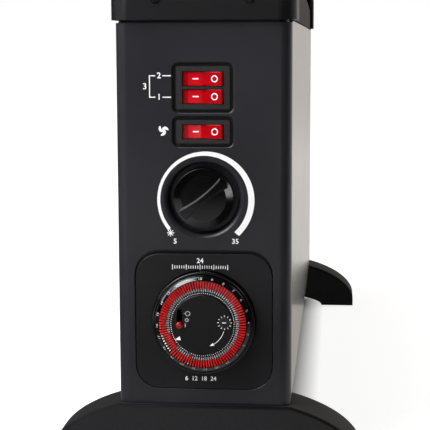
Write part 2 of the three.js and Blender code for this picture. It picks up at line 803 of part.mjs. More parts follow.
function thermostatBody() {
  const bodyX = dishBackX + seatGap;
  const outline = rectangle(0, thermostatZ, thermostatWidth, thermostatHeight, thermostatCorner);
  const body = prismX(outline, bodyX, bodyX + thermostatDepth, 2);
  const bush = rodX(bushRadius, dishFloorX - bushProud, bodyX + over, 0, thermostatZ);
  const boreX = [dishFloorX - bushProud - over, bodyX + bushRadius + over];
  const bore = rodX(shaftRadius + seatGap, ...boreX, 0, thermostatZ);
  const tabs = [-1, 1].map((side) => {
    const y = (side * thermostatWidth) / 4;
    const tabX = [bodyX + thermostatDepth - over, bodyX + thermostatDepth + tabLength];
    return block(tabX, [y - tabWidth / 2, y + tabWidth / 2], [thermostatZ, thermostatZ + tabThickness]);
  });
  return cut(join(body, bush, ...tabs), bore);
}

function thermostatShaft() {
  return rodX(shaftRadius, knobSocketX + seatGap, dishBackX + bushRadius, 0, thermostatZ);
}

function thermostatNut() {
  const x0 = dishFloorX - seatGap - nutThickness;
  const hexagon = rodX(nutRadius, x0, x0 + nutThickness, 0, thermostatZ, 6);
  return cut(hexagon, rodX(bushRadius + seatGap, x0 - over, x0 + nutThickness + over, 0, thermostatZ));
}

// Round hollow knob with a flat deck, and a waisted finger bar that stands up across it.
function thermostatKnob() {
  const bushEndX = dishFloorX - bushProud - seatGap;
  const skirtRadius = knobRadius - knobSkirt;
  const outside = [[0, knobDeckX], [knobRadius - knobEdge, knobDeckX], [knobRadius, knobDeckX + knobEdge],
    [knobRadius, knobFloorX], [0, knobFloorX]];
  const inside = [[knobBossRadius, knobCeilingX], [skirtRadius, knobCeilingX],
    [skirtRadius, knobFloorX + over], [0, knobFloorX + over], [0, bushEndX], [knobBossRadius, bushEndX]];
  const skirt = cut(turnX(outside, 0, thermostatZ, 30), turnX(inside, 0, thermostatZ, 14));
  const rootX = knobDeckX + seatGap;
  const ends = [[0, knobTopX], [knobBarEnd - knobEdge, knobTopX], [knobBarEnd, knobTopX + knobEdge],
    [knobBarEnd, rootX], [0, rootX]];
  const tilt = THREE.MathUtils.degToRad(knobPointerAngle);
  let bar = turnX(ends, 0, thermostatZ, 30);
  for (const side of [-1, 1]) {
    const reach = side * (knobBarArc + knobBarWaist / 2);
    const [y, z] = [-reach * Math.sin(tilt), thermostatZ + reach * Math.cos(tilt)];
    bar = cut(bar, rodX(knobBarArc, knobTopX - over, rootX + over, y, z, 90));
  }
  const socket = rodX(shaftRadius + seatGap, knobSocketX, knobFloorX, 0, thermostatZ);
  return cut(join(skirt, bar), socket);
}

// ---------------------------------------------------------------- timer

const timerCupX = faceX(-timerCupFloor);
const minuteZ = timerZ + minuteRise;
const timerSeatBackX = faceX(-timerSeatBack);

function timerFaceplate() {
  const plate = rectangle(0, timerZ, timerPlateSize, timerPlateSize, timerPlateCorner);
  const hole = rodX(timerRadius + seatGap, faceX(over), faceX(-timerPlateThickness - over), 0, timerZ, 36);
  return cut(prismX(plate, faceX(0), faceX(-timerPlateThickness)), hole);
}

// Case with an open cup in front for the dial and a flange that bears on the back of the end panel.
function timerCase() {
  const flangeX = timerSeatBackX + seatGap;
  const cup = timerRadius - timerRimWall;
  const flangeBackX = flangeX + timerFlangeThickness;
  const backX = flangeX + timerBodyDepth;
  const profile = [[0, timerCupX], [cup, timerCupX], [cup, faceX(timerRimProud)],
    [timerRadius, faceX(timerRimProud)], [timerRadius, flangeX], [timerFlangeRadius, flangeX],
    [timerFlangeRadius, flangeBackX], [timerBodyRadius, flangeBackX], [timerBodyRadius, backX], [0, backX]];
  const seatX = [timerCupX - over, timerCupX + timerPostSeat + seatGap];
  const seat = rodX(timerPostRadius + seatGap, ...seatX, 0, timerZ, 20);
  return cut(turnX(profile, 0, timerZ, 30), seat);
}

// Turning dial: a ring round the fixed hub, with a sloping number face, a rolled edge
// and the tappets' channel.
function timerDial() {
  const edge = timerRadius - timerRimWall - seatGap;
  const backX = timerCupX - seatGap;
  const bore = discRadius + seatGap;
  const profile = [[bore, backX], [edge, backX], [edge, faceX(dialEdgeProud - timerEdge)],
    [edge - timerEdge, faceX(dialEdgeProud)], [channelOuter, faceX(dialCrownProud)],
    [channelOuter, faceX(channelFloor)], [channelInner, faceX(channelFloor)],
    [channelInner, faceX(dialCrownProud)], [bore, faceX(dialCrownProud)]];
  return turnX(profile, 0, timerZ, 30);
}

// Ring of switching tappets: most stand at the rim, and a run of them and one more are
// pushed in towards the centre.
function timerTappets() {
  const ringX = faceX(channelFloor + seatGap);
  const ringTopX = ringX - tappetBase;
  const topX = faceX(tappetProud);
  const [inner, outer] = [channelInner + seatGap, channelOuter - seatGap];
  const ring = [[inner, ringX], [outer, ringX], [outer, ringTopX], [inner, ringTopX]];
  let tappets = turnX(ring, 0, timerZ, 30);
  const foot = ringTopX + tappetBase / 2;
  const ridge = new THREE.Shape();
  ridge.moveTo(foot, -tappetWidth / 2);
  ridge.lineTo(foot, tappetWidth / 2);
  ridge.lineTo(topX, 0);
  for (let i = 0; i < tappetCount; i += 1) {
    const inRun = i >= setTappetFirst && i < setTappetFirst + setTappetCount;
    const pushed = inRun || i === setTappetAlone;
    const outer = tappetOuter - (pushed ? tappetTravel : 0);
    const geometry = new THREE.ExtrudeGeometry(ridge, { depth: tappetLength, bevelEnabled: false });
    geometry.rotateX(-Math.PI / 2).translate(0, outer - tappetLength, 0);
    geometry.rotateX(((i + 0.5) / tappetCount) * 2 * Math.PI);
    geometry.translate(0, 0, timerZ);
    tappets = join(tappets, toSolid(geometry));
  }
  return tappets;
}

// Fixed centre disc: its skirt is the hub that the dial turns on, and a post holds it in the case.
function timerCentreDisc() {
  const frontX = faceX(discProud);
  const backX = faceX(discProud - discThickness);
  const skirtEndX = timerCupX - seatGap;
  const profile = [[0, frontX], [discRadius - timerEdge, frontX], [discRadius, frontX + timerEdge],
    [discRadius, skirtEndX], [discRadius - hubSkirt, skirtEndX], [discRadius - hubSkirt, backX],
    [timerPostRadius, backX], [timerPostRadius, timerCupX + timerPostSeat], [0, timerCupX + timerPostSeat]];
  const disc = turnX(profile, 0, timerZ, 28);
  const cutX = [frontX - over, backX + over];
  const half = sliderStem / 2 + seatGap;
  const slotZ = [timerZ - half, timerZ + sliderTravel + half];
  const slot = block(cutX, [sliderOffset - half, sliderOffset + half], slotZ);
  const seatX = faceX(discProud - minuteThickness);
  const seat = rodX(minuteRadius + seatGap, frontX - over, seatX, -minuteOffset, minuteZ, 16);
  const bore = rodX(minutePinRadius + seatGap, seatX - over, backX + over, -minuteOffset, minuteZ, 12);
  return cut(disc, slot, seat, bore);
}

// Slider with a domed head in front of the disc and a hook behind it that laps the slot on two sides.
function overrideSlider() {
  const [y, z] = [sliderOffset, timerZ];
  const headX = faceX(discProud + seatGap);
  const topX = faceX(sliderHeadTop);
  const shoulder = sliderHeadRadius * sliderCrown;
  const dome = [[0, topX], [shoulder, topX + sliderDome * (1 - sliderCrown)],
    [sliderHeadRadius, topX + sliderDome], [sliderHeadRadius, headX], [0, headX]];
  const footX = faceX(discProud - discThickness - seatGap);
  const half = sliderStem / 2;
  const stem = block([headX - over, footX + over / 2], [y - half, y + half], [z - half, z + half]);
  const reach = half + sliderFootLap;
  const hook = block([footX, footX + sliderFootThickness], [y - reach, y + half], [z - reach, z + half]);
  return join(turnX(dome, y, z, 12), stem, hook);
}

// Small geared hand that turns once an hour in its seat in the centre disc.
function minuteHand() {
  const y = -minuteOffset;
  const frontX = faceX(discProud);
  const backX = faceX(discProud - minuteThickness) - seatGap;
  const disc = rodX(minuteRadius, frontX, backX, y, minuteZ, 16);
  const pinEnd = faceX(discProud - discThickness) + minutePinReach;
  const pin = rodX(minutePinRadius, backX - seatGap, pinEnd, y, minuteZ, 12);
  const half = minuteHandWidth / 2;
  const pointerX = [frontX - minuteHandProud, frontX + seatGap];
  const pointerY = [y - half, y + minuteRadius - timerEdge];
  const pointer = block(pointerX, pointerY, [minuteZ - half, minuteZ + half]);
  return join(disc, pin, pointer);
}

function timerMotor() {
  const x0 = faceX(-timerBackDepth - seatGap);
  const can = rodX(timerMotorRadius, x0, faceX(-timerMotorBack), 0, timerZ, 20);
  const tabX = [x0 + timerTabSetback, x0 + timerTabSetback + tabThickness];
  const reach = [timerZ - timerMotorRadius - tabLength / 2, timerZ - timerMotorRadius / 2];
  const tabs = [-1, 1].map((side) => {
    const y = (side * timerMotorRadius) / 2;
    return block(tabX, [y - tabWidth / 2, y + tabWidth / 2], reach);
  });
  return join(can, ...tabs);
}

// ---------------------------------------------------------------- heating chamber

const elements = [
  { y: -elementSpacing / 2, arm: highElementArm },
  { y: elementSpacing / 2, arm: lowElementArm },
];
const elementHalf = chamberHalf - elementEndGap;

// Upright sheet with a foot flange, drilled for the element insulators.
function chamberWall(x, direction, top) {
  const upright = block([x, x + sheet], [-innerHalfDepth, innerHalfDepth], [chamberFloorZ, top]);
  const flangeX = direction > 0 ? [x, x + flangeWidth] : [x - flangeWidth + sheet, x + sheet];
  const flangeSide = innerHalfDepth - flangeWidth;
  const flange = block(flangeX, [-flangeSide, flangeSide], [chamberFloorZ, chamberFloorZ + sheet]);
  let plate = join(upright, flange);
  for (const { y } of elements) {
    plate = cut(plate, rodX(insulatorRadius + seatGap, x - over, x + sheet + over, y, elementZ));
  }
  return plate;
}

function controlPartition() {
  const x = -chamberHalf - sheet;
  const screw = rodX(cutoutScrewRadius, x - over, x + sheet + over, 0, cutoutZ, 8);
  return cut(chamberWall(x, -1, seamZ - sheet - seatGap), screw);
}

const farBracket = () => chamberWall(chamberHalf, 1, elementZ + bracketMargin);

// Ceramic bush that carries one end of an element; drawn about the middle of the control wall's hole.
function elementInsulator() {
  const half = insulatorLength / 2;
  const edge = sheet / 2 + seatGap;
  const bore = elementPinRadius + seatGap;
  const collar = edge + insulatorCollar;
  const profile = [[bore, -half], [insulatorRadius, -half], [insulatorRadius, edge], [insulatorFlange, edge],
    [insulatorFlange, collar], [insulatorRadius, collar], [insulatorRadius, half], [bore, half]];
  return turnX(profile, 0, 0, 8);
}

// X-section extruded heater bar with a pin at each end, drawn about its own axis.
function heatElement(arm) {
  const core = rodX(elementCore, -elementHalf, elementHalf, 0, 0, 12);
  const arms = [-1, 1].map((side) => {
    const geometry = new THREE.BoxGeometry(2 * elementHalf, 2 * arm, elementWeb);
    return toSolid(geometry.rotateX((side * Math.PI) / 4));
  });
  const pinEnd = chamberHalf + insulatorLength / 4;
  return join(core, ...arms, rodX(elementPinRadius, -pinEnd, pinEnd, 0, 0, 10));
}

function thermalCutout() {
  const x0 = -chamberHalf + seatGap;
  const rim = cutoutRadius + cutoutFlange;
  const rimX = x0 + cutoutFlangeThickness;
  const can = turnX([[0, x0], [rim, x0], [rim, rimX], [cutoutRadius, rimX],
    [cutoutRadius, x0 + cutoutHeight], [0, x0 + cutoutHeight]], 0, cutoutZ, 14);
  const tabX = [x0 + cutoutHeight / 2, x0 + cutoutHeight / 2 + tabThickness];
  const half = cutoutRadius / 2 - over;
  const tabZ = [cutoutZ + cutoutRadius - 2 * over, cutoutZ + cutoutRadius + tabLength];
  const tabs = [-1, 1].map((side) => {
    const y = (side * cutoutRadius) / 2;
    return block(tabX, [y - half, y + half], tabZ);
  });
  return join(can, ...tabs);
}

// ---------------------------------------------------------------- turbo fan

function fanShroud() {
  const ring = turnZ([[shroudInner, chamberFloorZ], [shroudInner + shroudWall, chamberFloorZ],
    [shroudInner + shroudWall, shroudTopZ], [shroudInner, shroudTopZ]], 0, 0, 22);
  const spokeZ = [shroudTopZ - spokeThickness, shroudTopZ];
  let shroud = join(ring, rodZ(motorPlateRadius, ...spokeZ, 0, 0, 12));
  for (let i = 0; i < spokeCount; i += 1) {
    const length = shroudInner + shroudWall / 2;
    const geometry = new THREE.BoxGeometry(length, spokeWidth, spokeThickness);
    geometry.translate(length / 2, 0, (spokeZ[0] + spokeZ[1]) / 2);
    shroud = join(shroud, toSolid(geometry.rotateZ((i / spokeCount) * 2 * Math.PI)));
  }
  return cut(shroud, rodZ(2 * fanShaftRadius, spokeZ[0] - over, spokeZ[1] + over, 0, 0));
}

function fanMotor() {
  const stack = block([-fanMotorLength / 2, fanMotorLength / 2], [-fanMotorWidth / 2, fanMotorWidth / 2],
    [fanMotorZ, fanMotorZ + fanMotorHeight]);
  const coilX = (fanMotorLength - fanCoilRadius) / 2;
  const coilY = [-fanCoilLength / 2, fanCoilLength / 2];
  const coil = rodY(fanCoilRadius, ...coilY, coilX, fanMotorZ + fanMotorHeight / 2, 16);
  const bore = rodZ(fanShaftRadius + seatGap, fanMotorZ - over, fanMotorZ + fanBoreDepth, 0, 0);
  return cut(join(stack, coil), bore);
}

function fanShaft() {
  const foot = chamberFloorZ + fanHubRise + fanHubEdge;
  return rodZ(fanShaftRadius, foot, fanMotorZ + fanBoreDepth - 2 * seatGap, 0, 0);
}

// Axial impeller: pitched blades round a hub, blowing upwards.
function fanImpeller() {
  const z0 = chamberFloorZ + fanHubRise;
  const top = z0 + fanHubHeight;
  const hub = turnZ([[0, z0], [fanHubRadius - fanHubEdge, z0], [fanHubRadius, z0 + fanHubEdge],
    [fanHubRadius, top], [0, top]], 0, 0, 20);
  const half = fanBladeChord / 2;
  const tip = half * fanBladeTip;
  const root = fanHubRadius - fanHubLap;
  const shape = new THREE.Shape();
  shape.moveTo(root, -half * fanBladeRoot);
  shape.lineTo(fanRadius * fanBladeFlare, -half);
  shape.absarc(fanRadius - tip, tip - half, tip, -Math.PI / 2, 0);
  shape.absarc(fanRadius - tip, half - tip, tip, 0, Math.PI / 2);
  shape.lineTo(root, half * fanBladeRoot);
  const settings = { depth: fanBladeThickness, bevelEnabled: false, curveSegments: 2 };
  const blades = [];
  for (let i = 0; i < fanBlades; i += 1) {
    const geometry = new THREE.ExtrudeGeometry(shape, settings).translate(0, 0, -fanBladeThickness / 2);
    geometry.rotateX(THREE.MathUtils.degToRad(fanBladePitch));
    geometry.rotateZ((i / fanBlades) * 2 * Math.PI);
    blades.push(toSolid(geometry.translate(0, 0, (z0 + top) / 2)));
  }
  return cut(join(hub, ...blades), rodZ(fanShaftRadius + seatGap, z0 + fanHubEdge, top + over, 0, 0));
}

// ---------------------------------------------------------------- connections

function terminalBlock() {
  const x1 = -chamberHalf - sheet - seatGap;
  const z0 = footHeight + terminalRise;
  const z1 = z0 + terminalBlockHeight;
  const y0 = -terminalSide - terminalBlockWidth / 2;
  let solid = block([x1 - terminalBlockDepth, x1], [y0, y0 + terminalBlockWidth], [z0, z1]);
  const pitch = terminalBlockWidth / terminalWays;
  const x = x1 - terminalBlockDepth / 2;
  for (let way = 0; way < terminalWays; way += 1) {
    const y = y0 + pitch * (way + 0.5);
    solid = cut(solid, rodZ(terminalWireHole, z0 - over, z1 + over, x, y, 6));
    const screwZ = z0 + terminalScrewRise;
    solid = cut(solid, rodX(terminalScrewHole, x1 - terminalBlockDepth - over, x, y, screwZ, 6));
  }
  return solid;
}

// Gland with an open bore, held in the back panel by a lip on each side of the sheet.
function cordGland() {
  const outer = halfDepth + seatGap;
  const inner = halfDepth - sheet - seatGap;
  const face = outer + glandFlangeThickness;
  const barb = glandRadius + glandBarb;
  const profile = [[glandBore, inner - glandTail], [glandRadius, inner - glandTail],
    [glandRadius, inner - glandBarbLength], [barb, inner - glandBarbLength], [barb, inner],
    [glandRadius, inner], [glandRadius, outer], [glandFlange, outer], [glandFlange, face - glandEdge],
    [glandFlange - glandEdge, face], [glandBore, face]];
  return turnY(profile, -halfLength + glandInset, footHeight + glandRise, 10);
}

// ---------------------------------------------------------------- materials

function finish(color, roughness, metalness) {
  return new THREE.MeshStandardMaterial({ color, roughness, metalness });
}

const moulding = finish(0x2e2d31, 0.5, 0);
const paintedSteel = finish(0x26262a, 0.35, 0.2);
const glossBlack = finish(0x0e0e10, 0.12, 0);
const bezelBlack = finish(0x202022, 0.4, 0);
const rockerRed = finish(0xd0101e, 0.25, 0);
const tappetRed = finish(0xc03030, 0.4, 0);
const galvanised = finish(0xb4b6b8, 0.4, 0.9);
const aluminium = finish(0xc8c9cb, 0.35, 1);
const ceramic = finish(0xe6e0d2, 0.6, 0);
const zincScrew = finish(0x3a3a3c, 0.4, 0.8);
const bakelite = finish(0x3a2a20, 0.5, 0);
const copper = finish(0x9a5a34, 0.4, 0.8);
const nylon = finish(0xd9d6cc, 0.5, 0);

// ---------------------------------------------------------------- assembly

const heater = new THREE.Group();
heater.name = 'convector_heater';
const body = new THREE.Group();
body.position.x = (controlReach - farReach) / 2;
heater.add(body);

// The far end's pieces are the control end's, given half a turn about Z.
function place(name, geometry, material, position = [0, 0, 0], angle = 0) {
  const mesh = new THREE.Mesh(geometry, material);
  mesh.name = name;
  mesh.position.set(...position);
  mesh.rotation.z = angle;
  body.add(mesh);
}

const add = (name, solid, material) => place(name, toGeometry(solid), material);

const middle = [0, 0, 0];
add('front_panel', frontPanel(), paintedSteel);
place('back_panel', toGeometry(backPanel()), paintedSteel, middle, Math.PI);
add('control_end_panel', controlEndPanel(), moulding);
place('far_end_panel', toGeometry(endShell()), moulding, middle, Math.PI);
add('bottom_plate', bottomPlate(), galvanised);
add('top_grille', topGrille(), paintedSteel);

const capGeometry = toGeometry(topCap());
place('control_top_cap', capGeometry, moulding);
place('far_top_cap', capGeometry, moulding, middle, Math.PI);

const footGeometry = toGeometry(foot());
place('control_foot', footGeometry, moulding);
place('far_foot', footGeometry, moulding, middle, Math.PI);

const capScrewGeometry = toGeometry(capScrew());
const footScrewGeometry = toGeometry(footScrew());
const capSeatX = capEnd - capScrewSeat + seatGap;
const footSeatZ = footHeight - footSeatThickness - 2 * seatGap;
let screwNumber = 0;
for (const end of [-1, 1]) {
  for (const side of [-1, 1]) {
    screwNumber += 1;
    const capSeat = [end * capSeatX, (side * capScrewSpacing) / 2, seamZ + capScrewRise];
    const footSeat = [end * footScrewX, (side * footScrewSpacing) / 2, footSeatZ];
    place(`cap_screw_${screwNumber}`, capScrewGeometry, zincScrew, capSeat, end > 0 ? Math.PI : 0);
    place(`foot_screw_${screwNumber}`, footScrewGeometry, zincScrew, footSeat);
  }
}

const rockerGeometry = toGeometry(rocker());
const pivotX = faceX(-bezelRecess - rockerPivotDepth);
const restTilt = THREE.MathUtils.degToRad(-rockerSwing / 2);
const rockerPlaces = switches.flatMap(({ z, rockers }) => rockers.map((offset) => z + offset));
add('double_switch_housing', switchHousing(switches[0]), bezelBlack);
add('fan_switch_housing', switchHousing(switches[1]), bezelBlack);
['high_heat_rocker', 'low_heat_rocker', 'fan_rocker'].forEach((name, i) => {
  place(name, rockerGeometry, rockerRed, [pivotX, 0, rockerPlaces[i]], restTilt);
});

add('thermostat_body', thermostatBody(), bakelite);
add('thermostat_shaft', thermostatShaft(), galvanised);
add('thermostat_nut', thermostatNut(), galvanised);
add('thermostat_knob', thermostatKnob(), glossBlack);

add('timer_faceplate', timerFaceplate(), moulding);
add('timer_case', timerCase(), glossBlack);
add('timer_dial', timerDial(), glossBlack);
add('timer_tappets', timerTappets(), tappetRed);
add('timer_centre_disc', timerCentreDisc(), bezelBlack);
add('override_slider', overrideSlider(), rockerRed);
add('minute_hand', minuteHand(), nylon);
add('timer_motor', timerMotor(), galvanised);

add('control_partition', controlPartition(), galvanised);
add('far_bracket', farBracket(), galvanised);
elements.forEach(({ y, arm }, i) => {
  const name = ['high_heat_element', 'low_heat_element'][i];
  place(name, toGeometry(heatElement(arm)), aluminium, [0, y, elementZ]);
});
const insulatorGeometry = toGeometry(elementInsulator());
let insulatorNumber = 0;
for (const end of [-1, 1]) {
  for (const { y } of elements) {
    insulatorNumber += 1;
    const position = [end * (chamberHalf + sheet / 2), y, elementZ];
    const angle = end > 0 ? Math.PI : 0;
    place(`element_insulator_${insulatorNumber}`, insulatorGeometry, ceramic, position, angle);
  }
}
add('thermal_cutout', thermalCutout(), bakelite);

add('fan_shroud', fanShroud(), nylon);
add('fan_motor', fanMotor(), copper);
add('fan_shaft', fanShaft(), galvanised);
add('fan_impeller', fanImpeller(), nylon);

add('terminal_block', terminalBlock(), nylon);
add('cord_gland', cordGland(), bezelBlack);

export default heater;
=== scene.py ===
"""Looks of a free-standing convector heater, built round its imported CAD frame.

Metres, +Z up. X runs along the heater with the control end at -X, and the front faces -Y.
Sizes are written in millimetres and turned to metres where a mesh is made.
"""
import json
import math

import bmesh
import bpy
from mathutils import Matrix, Vector

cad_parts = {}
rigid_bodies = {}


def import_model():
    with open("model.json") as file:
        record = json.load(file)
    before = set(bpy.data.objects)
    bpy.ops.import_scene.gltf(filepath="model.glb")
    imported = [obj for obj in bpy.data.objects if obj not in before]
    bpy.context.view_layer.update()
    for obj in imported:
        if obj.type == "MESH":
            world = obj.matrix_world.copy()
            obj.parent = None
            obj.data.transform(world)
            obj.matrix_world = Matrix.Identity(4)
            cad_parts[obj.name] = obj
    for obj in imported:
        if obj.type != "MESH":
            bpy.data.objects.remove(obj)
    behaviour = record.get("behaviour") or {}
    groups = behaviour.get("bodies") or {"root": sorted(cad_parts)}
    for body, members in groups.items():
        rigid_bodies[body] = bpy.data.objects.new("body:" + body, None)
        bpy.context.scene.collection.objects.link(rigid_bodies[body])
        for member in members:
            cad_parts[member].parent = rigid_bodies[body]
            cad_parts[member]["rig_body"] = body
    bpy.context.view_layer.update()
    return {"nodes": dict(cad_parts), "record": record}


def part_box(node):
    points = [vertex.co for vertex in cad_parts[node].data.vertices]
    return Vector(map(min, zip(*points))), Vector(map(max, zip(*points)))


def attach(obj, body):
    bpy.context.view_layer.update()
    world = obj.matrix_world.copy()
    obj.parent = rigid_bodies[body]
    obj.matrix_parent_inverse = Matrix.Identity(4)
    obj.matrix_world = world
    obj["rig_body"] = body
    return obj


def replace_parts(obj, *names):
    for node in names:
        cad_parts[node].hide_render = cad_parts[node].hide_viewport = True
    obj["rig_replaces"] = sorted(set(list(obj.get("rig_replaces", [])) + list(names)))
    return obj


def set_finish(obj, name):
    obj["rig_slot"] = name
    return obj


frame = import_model()
nodes = frame["nodes"]
MM = 0.001
TURN = 2 * math.pi

# ---------------------------------------------------------------- camera

CAMERA_PLACE = Vector((-1.0167, -0.0773, 0.2502))
CAMERA_HEADING = 0.093  # radians from +X towards +Y
CAMERA_DIP = 0.129
CAMERA_ROLL = 0.004
CAMERA_LENS = 110.4
SENSOR = 36.0


def make_camera():
    data = bpy.data.cameras.new("camera")
    data.sensor_width = SENSOR
    data.lens = CAMERA_LENS
    data.clip_start = 0.05
    data.clip_end = 50
    camera = bpy.data.objects.new("camera", data)
    bpy.context.scene.collection.objects.link(camera)
    level = Vector((math.cos(CAMERA_HEADING), math.sin(CAMERA_HEADING), 0))
    ahead = level * math.cos(CAMERA_DIP) - Vector((0, 0, math.sin(CAMERA_DIP)))
    right = ahead.cross(Vector((0, 0, 1))).normalized()
    up = right.cross(ahead)
    roll = Matrix.Rotation(CAMERA_ROLL, 3, ahead)
    axes = Matrix((roll @ right, roll @ up, -ahead)).transposed()
    camera.matrix_world = Matrix.Translation(CAMERA_PLACE) @ axes.to_4x4()
    bpy.context.scene.camera = camera


make_camera()

# ---------------------------------------------------------------- material tools


def colour(text):
    """A hex sRGB colour as linear RGBA."""
    parts = [int(text[i:i + 2], 16) / 255 for i in (1, 3, 5)]
    return tuple(c / 12.92 if c <= 0.04045 else ((c + 0.055) / 1.055) ** 2.4 for c in parts) + (1.0,)


def add(tree, kind, links=None, **settings):
    """Adds a node. links gives each input a value, or another node's output to follow."""
    node = tree.nodes.new(kind)
    for name, value in settings.items():
        setattr(node, name, value)
    for socket, value in (links or {}).items():
        if isinstance(value, bpy.types.NodeSocket):
            tree.links.new(value, node.inputs[socket])
        else:
            node.inputs[socket].default_value = value
    return node


def new_tree(material):
    material.use_nodes = True
    tree = material.node_tree
    tree.nodes.clear()
    return tree


def finish(name, **shader):
    """Starts a material: its tree, its place node in object space, and its shader with fixed values."""
    material = bpy.data.materials.new(name)
    tree = new_tree(material)
    place = add(tree, "ShaderNodeTexCoord").outputs["Object"]
    values = {key.replace("_", " "): value for key, value in shader.items()}
    surface = add(tree, "ShaderNodeBsdfPrincipled", values)
    add(tree, "ShaderNodeOutputMaterial", {"Surface": surface.outputs[0]})
    return material, tree, place, surface


def per_mm(size):
    """Pattern scale at which one repeat is size mm long."""
    return 1 / (size * MM)

# ---------------------------------------------------------------- materials

BUMP_DEPTH = 0.05 * MM


def two_tones(tree, driver, dark, light, low=0.35, high=0.65):
    """Mixes two hex colours by a pattern's value between low and high."""
    ramp = add(tree, "ShaderNodeValToRGB", {"Fac": driver})
    for element, stop, tone in zip(ramp.color_ramp.elements, (low, high), (dark, light)):
        element.position = stop
        element.color = colour(tone)
    return ramp.outputs["Color"]


def drive(tree, surface, tone, rough=None, relief=None):
    """Lets patterns steer a shader: tone is its colour, rough is (pattern, low, high) for its roughness,
    and relief is (pattern, strength) for a bump."""
    tree.links.new(tone, surface.inputs["Base Color"])
    if rough:
        pattern, low, high = rough
        shine = add(tree, "ShaderNodeMapRange", {"Value": pattern, "To Min": low, "To Max": high})
        tree.links.new(shine.outputs[0], surface.inputs["Roughness"])
    if relief:
        pattern, strength = relief
        bump = add(tree, "ShaderNodeBump", {"Height": pattern, "Strength": strength, "Distance": BUMP_DEPTH})
        tree.links.new(bump.outputs[0], surface.inputs["Normal"])


def one_grain(name, size, detail, tones, rough=None, relief=0.0, **shader):
    """Material with a single noise, size mm long. tones are two_tones' colours and stops."""
    material, tree, place, surface = finish(name, **shader)
    noise = add(tree, "ShaderNodeTexNoise", {"Vector": place, "Scale": per_mm(size), "Detail": detail})
    grain = noise.outputs[0]
    colours = two_tones(tree, grain, *tones)
    drive(tree, surface, colours, rough and (grain, *rough), relief and (grain, relief))
    return material


def rolled_edge(tree):
    """Mask of the painted edge shade: 1 on a foot's rolled edges and 0 on its flat faces, by how far the
    surface faces along the heater.
    """
    facing = add(tree, "ShaderNodeSeparateXYZ", {0: add(tree, "ShaderNodeNewGeometry").outputs["Normal"]})
    along = add(tree, "ShaderNodeMath", {0: facing.outputs["X"]}, operation="ABSOLUTE")
    edge = add(tree, "ShaderNodeValToRGB", {"Fac": along.outputs[0]})
    stops = edge.color_ramp.elements
    stops.new(0.3)
    stops.new(0.9)
    for element, (stop, level) in zip(stops, ((0.08, 0), (0.3, 1), (0.9, 1), (0.995, 0))):
        element.position = stop
        element.color = (level, level, level, 1)
    return edge.outputs["Color"]


def moulded_abs(name, dark, light, gloss):
    """Black ABS from a spark-eroded mould: a fine even grain that breaks up reflections into satin.
    The real grit is about 0.1 mm; it is drawn at 0.45 mm, so that it shows."""
    material, tree, place, surface = finish(name, IOR=1.53, Specular_IOR_Level=gloss)
    cloud = add(tree, "ShaderNodeTexNoise", {"Vector": place, "Scale": per_mm(60), "Detail": 3.0}).outputs[0]
    grit = add(tree, "ShaderNodeTexNoise", {"Vector": place, "Scale": per_mm(0.45), "Detail": 2.0}).outputs[0]
    drive(tree, surface, two_tones(tree, cloud, dark, light), (grit, 0.26, 0.36), (grit, 0.16))
    return material


def etched_abs():
    """Black ABS from a coarsely etched mould: no gloss, even at a low angle. The grain is about 0.7 mm,
    and a painted shade darkens the rolled edges, between the end face and the sides."""
    material, tree, place, surface = finish("etched_matt_abs", IOR=1.53, Specular_IOR_Level=0.08)
    etch = add(tree, "ShaderNodeTexNoise", {"Vector": place, "Scale": per_mm(0.7), "Detail": 3.0}).outputs[0]
    grain = two_tones(tree, etch, "#202021", "#28282A")
    # Painted shade: the mask mixes the rolled edges towards near black #0C0C0D.
    edge_shaded = add(tree, "ShaderNodeMix", {0: rolled_edge(tree), 6: grain, 7: colour("#0C0C0D")},
               data_type="RGBA")
    drive(tree, surface, edge_shaded.outputs[2], (etch, 0.5, 0.65), (etch, 0.2))
    return material


def satin_cap_abs():
    """Black ABS of the caps: deeper black than the panel, with a duller satin. The grit is 0.6 mm."""
    return one_grain("satin_cap_abs", 0.6, 2.0, ("#121213", "#17171A"), (0.34, 0.44), 0.12,
                     IOR=1.53, Specular_IOR_Level=0.25)


def textured_powder():
    """Black powder coat with a coarse texture: matt, with pits and crests about 0.9 mm apart."""
    return one_grain("textured_black_powder", 0.9, 3.0, ("#2A2A2B", "#343435"), (0.5, 0.7), 0.2,
                     IOR=1.5, Specular_IOR_Level=0.1)


def stoved_enamel():
    """Black enamel stoved on sheet steel: a clear hard gloss with the slight waves of orange peel."""
    material, tree, place, surface = finish("stoved_black_enamel", IOR=1.5, Coat_Weight=1.0,
                                            Coat_Roughness=0.16)
    peel = add(tree, "ShaderNodeTexNoise", {"Vector": place, "Scale": per_mm(2.2), "Detail": 2.0}).outputs[0]
    dust = add(tree, "ShaderNodeTexNoise", {"Vector": place, "Scale": per_mm(35), "Detail": 4.0}).outputs[0]
    drive(tree, surface, two_tones(tree, dust, "#161617", "#1C1C1D"), (dust, 0.3, 0.42), (peel, 0.12))
    return material


def fine_matt_abs():
    """Black ABS with a very fine blasted face: darker and smoother than the panel round it."""
    return one_grain("fine_matt_black_abs", 0.35, 2.0, ("#0A0A0B", "#0F0F10"), (0.28, 0.38), 0.08,
                     IOR=1.53, Specular_IOR_Level=0.35)


def polished_abs():
    """Black ABS from a polished mould: mirror gloss, very slightly hazed by handling."""
    return one_grain("polished_black_abs", 9, 5.0, ("#040405", "#070708"), (0.05, 0.11), IOR=1.53)


def moulded_nylon():
    """Charcoal glass-filled nylon: paler and duller than the panel, with a faint flow mottle."""
    return one_grain("charcoal_moulded_nylon", 1.6, 4.0, ("#1B1B1C", "#232324"), (0.42, 0.58), 0.1,
                     IOR=1.53, Specular_IOR_Level=0.4)


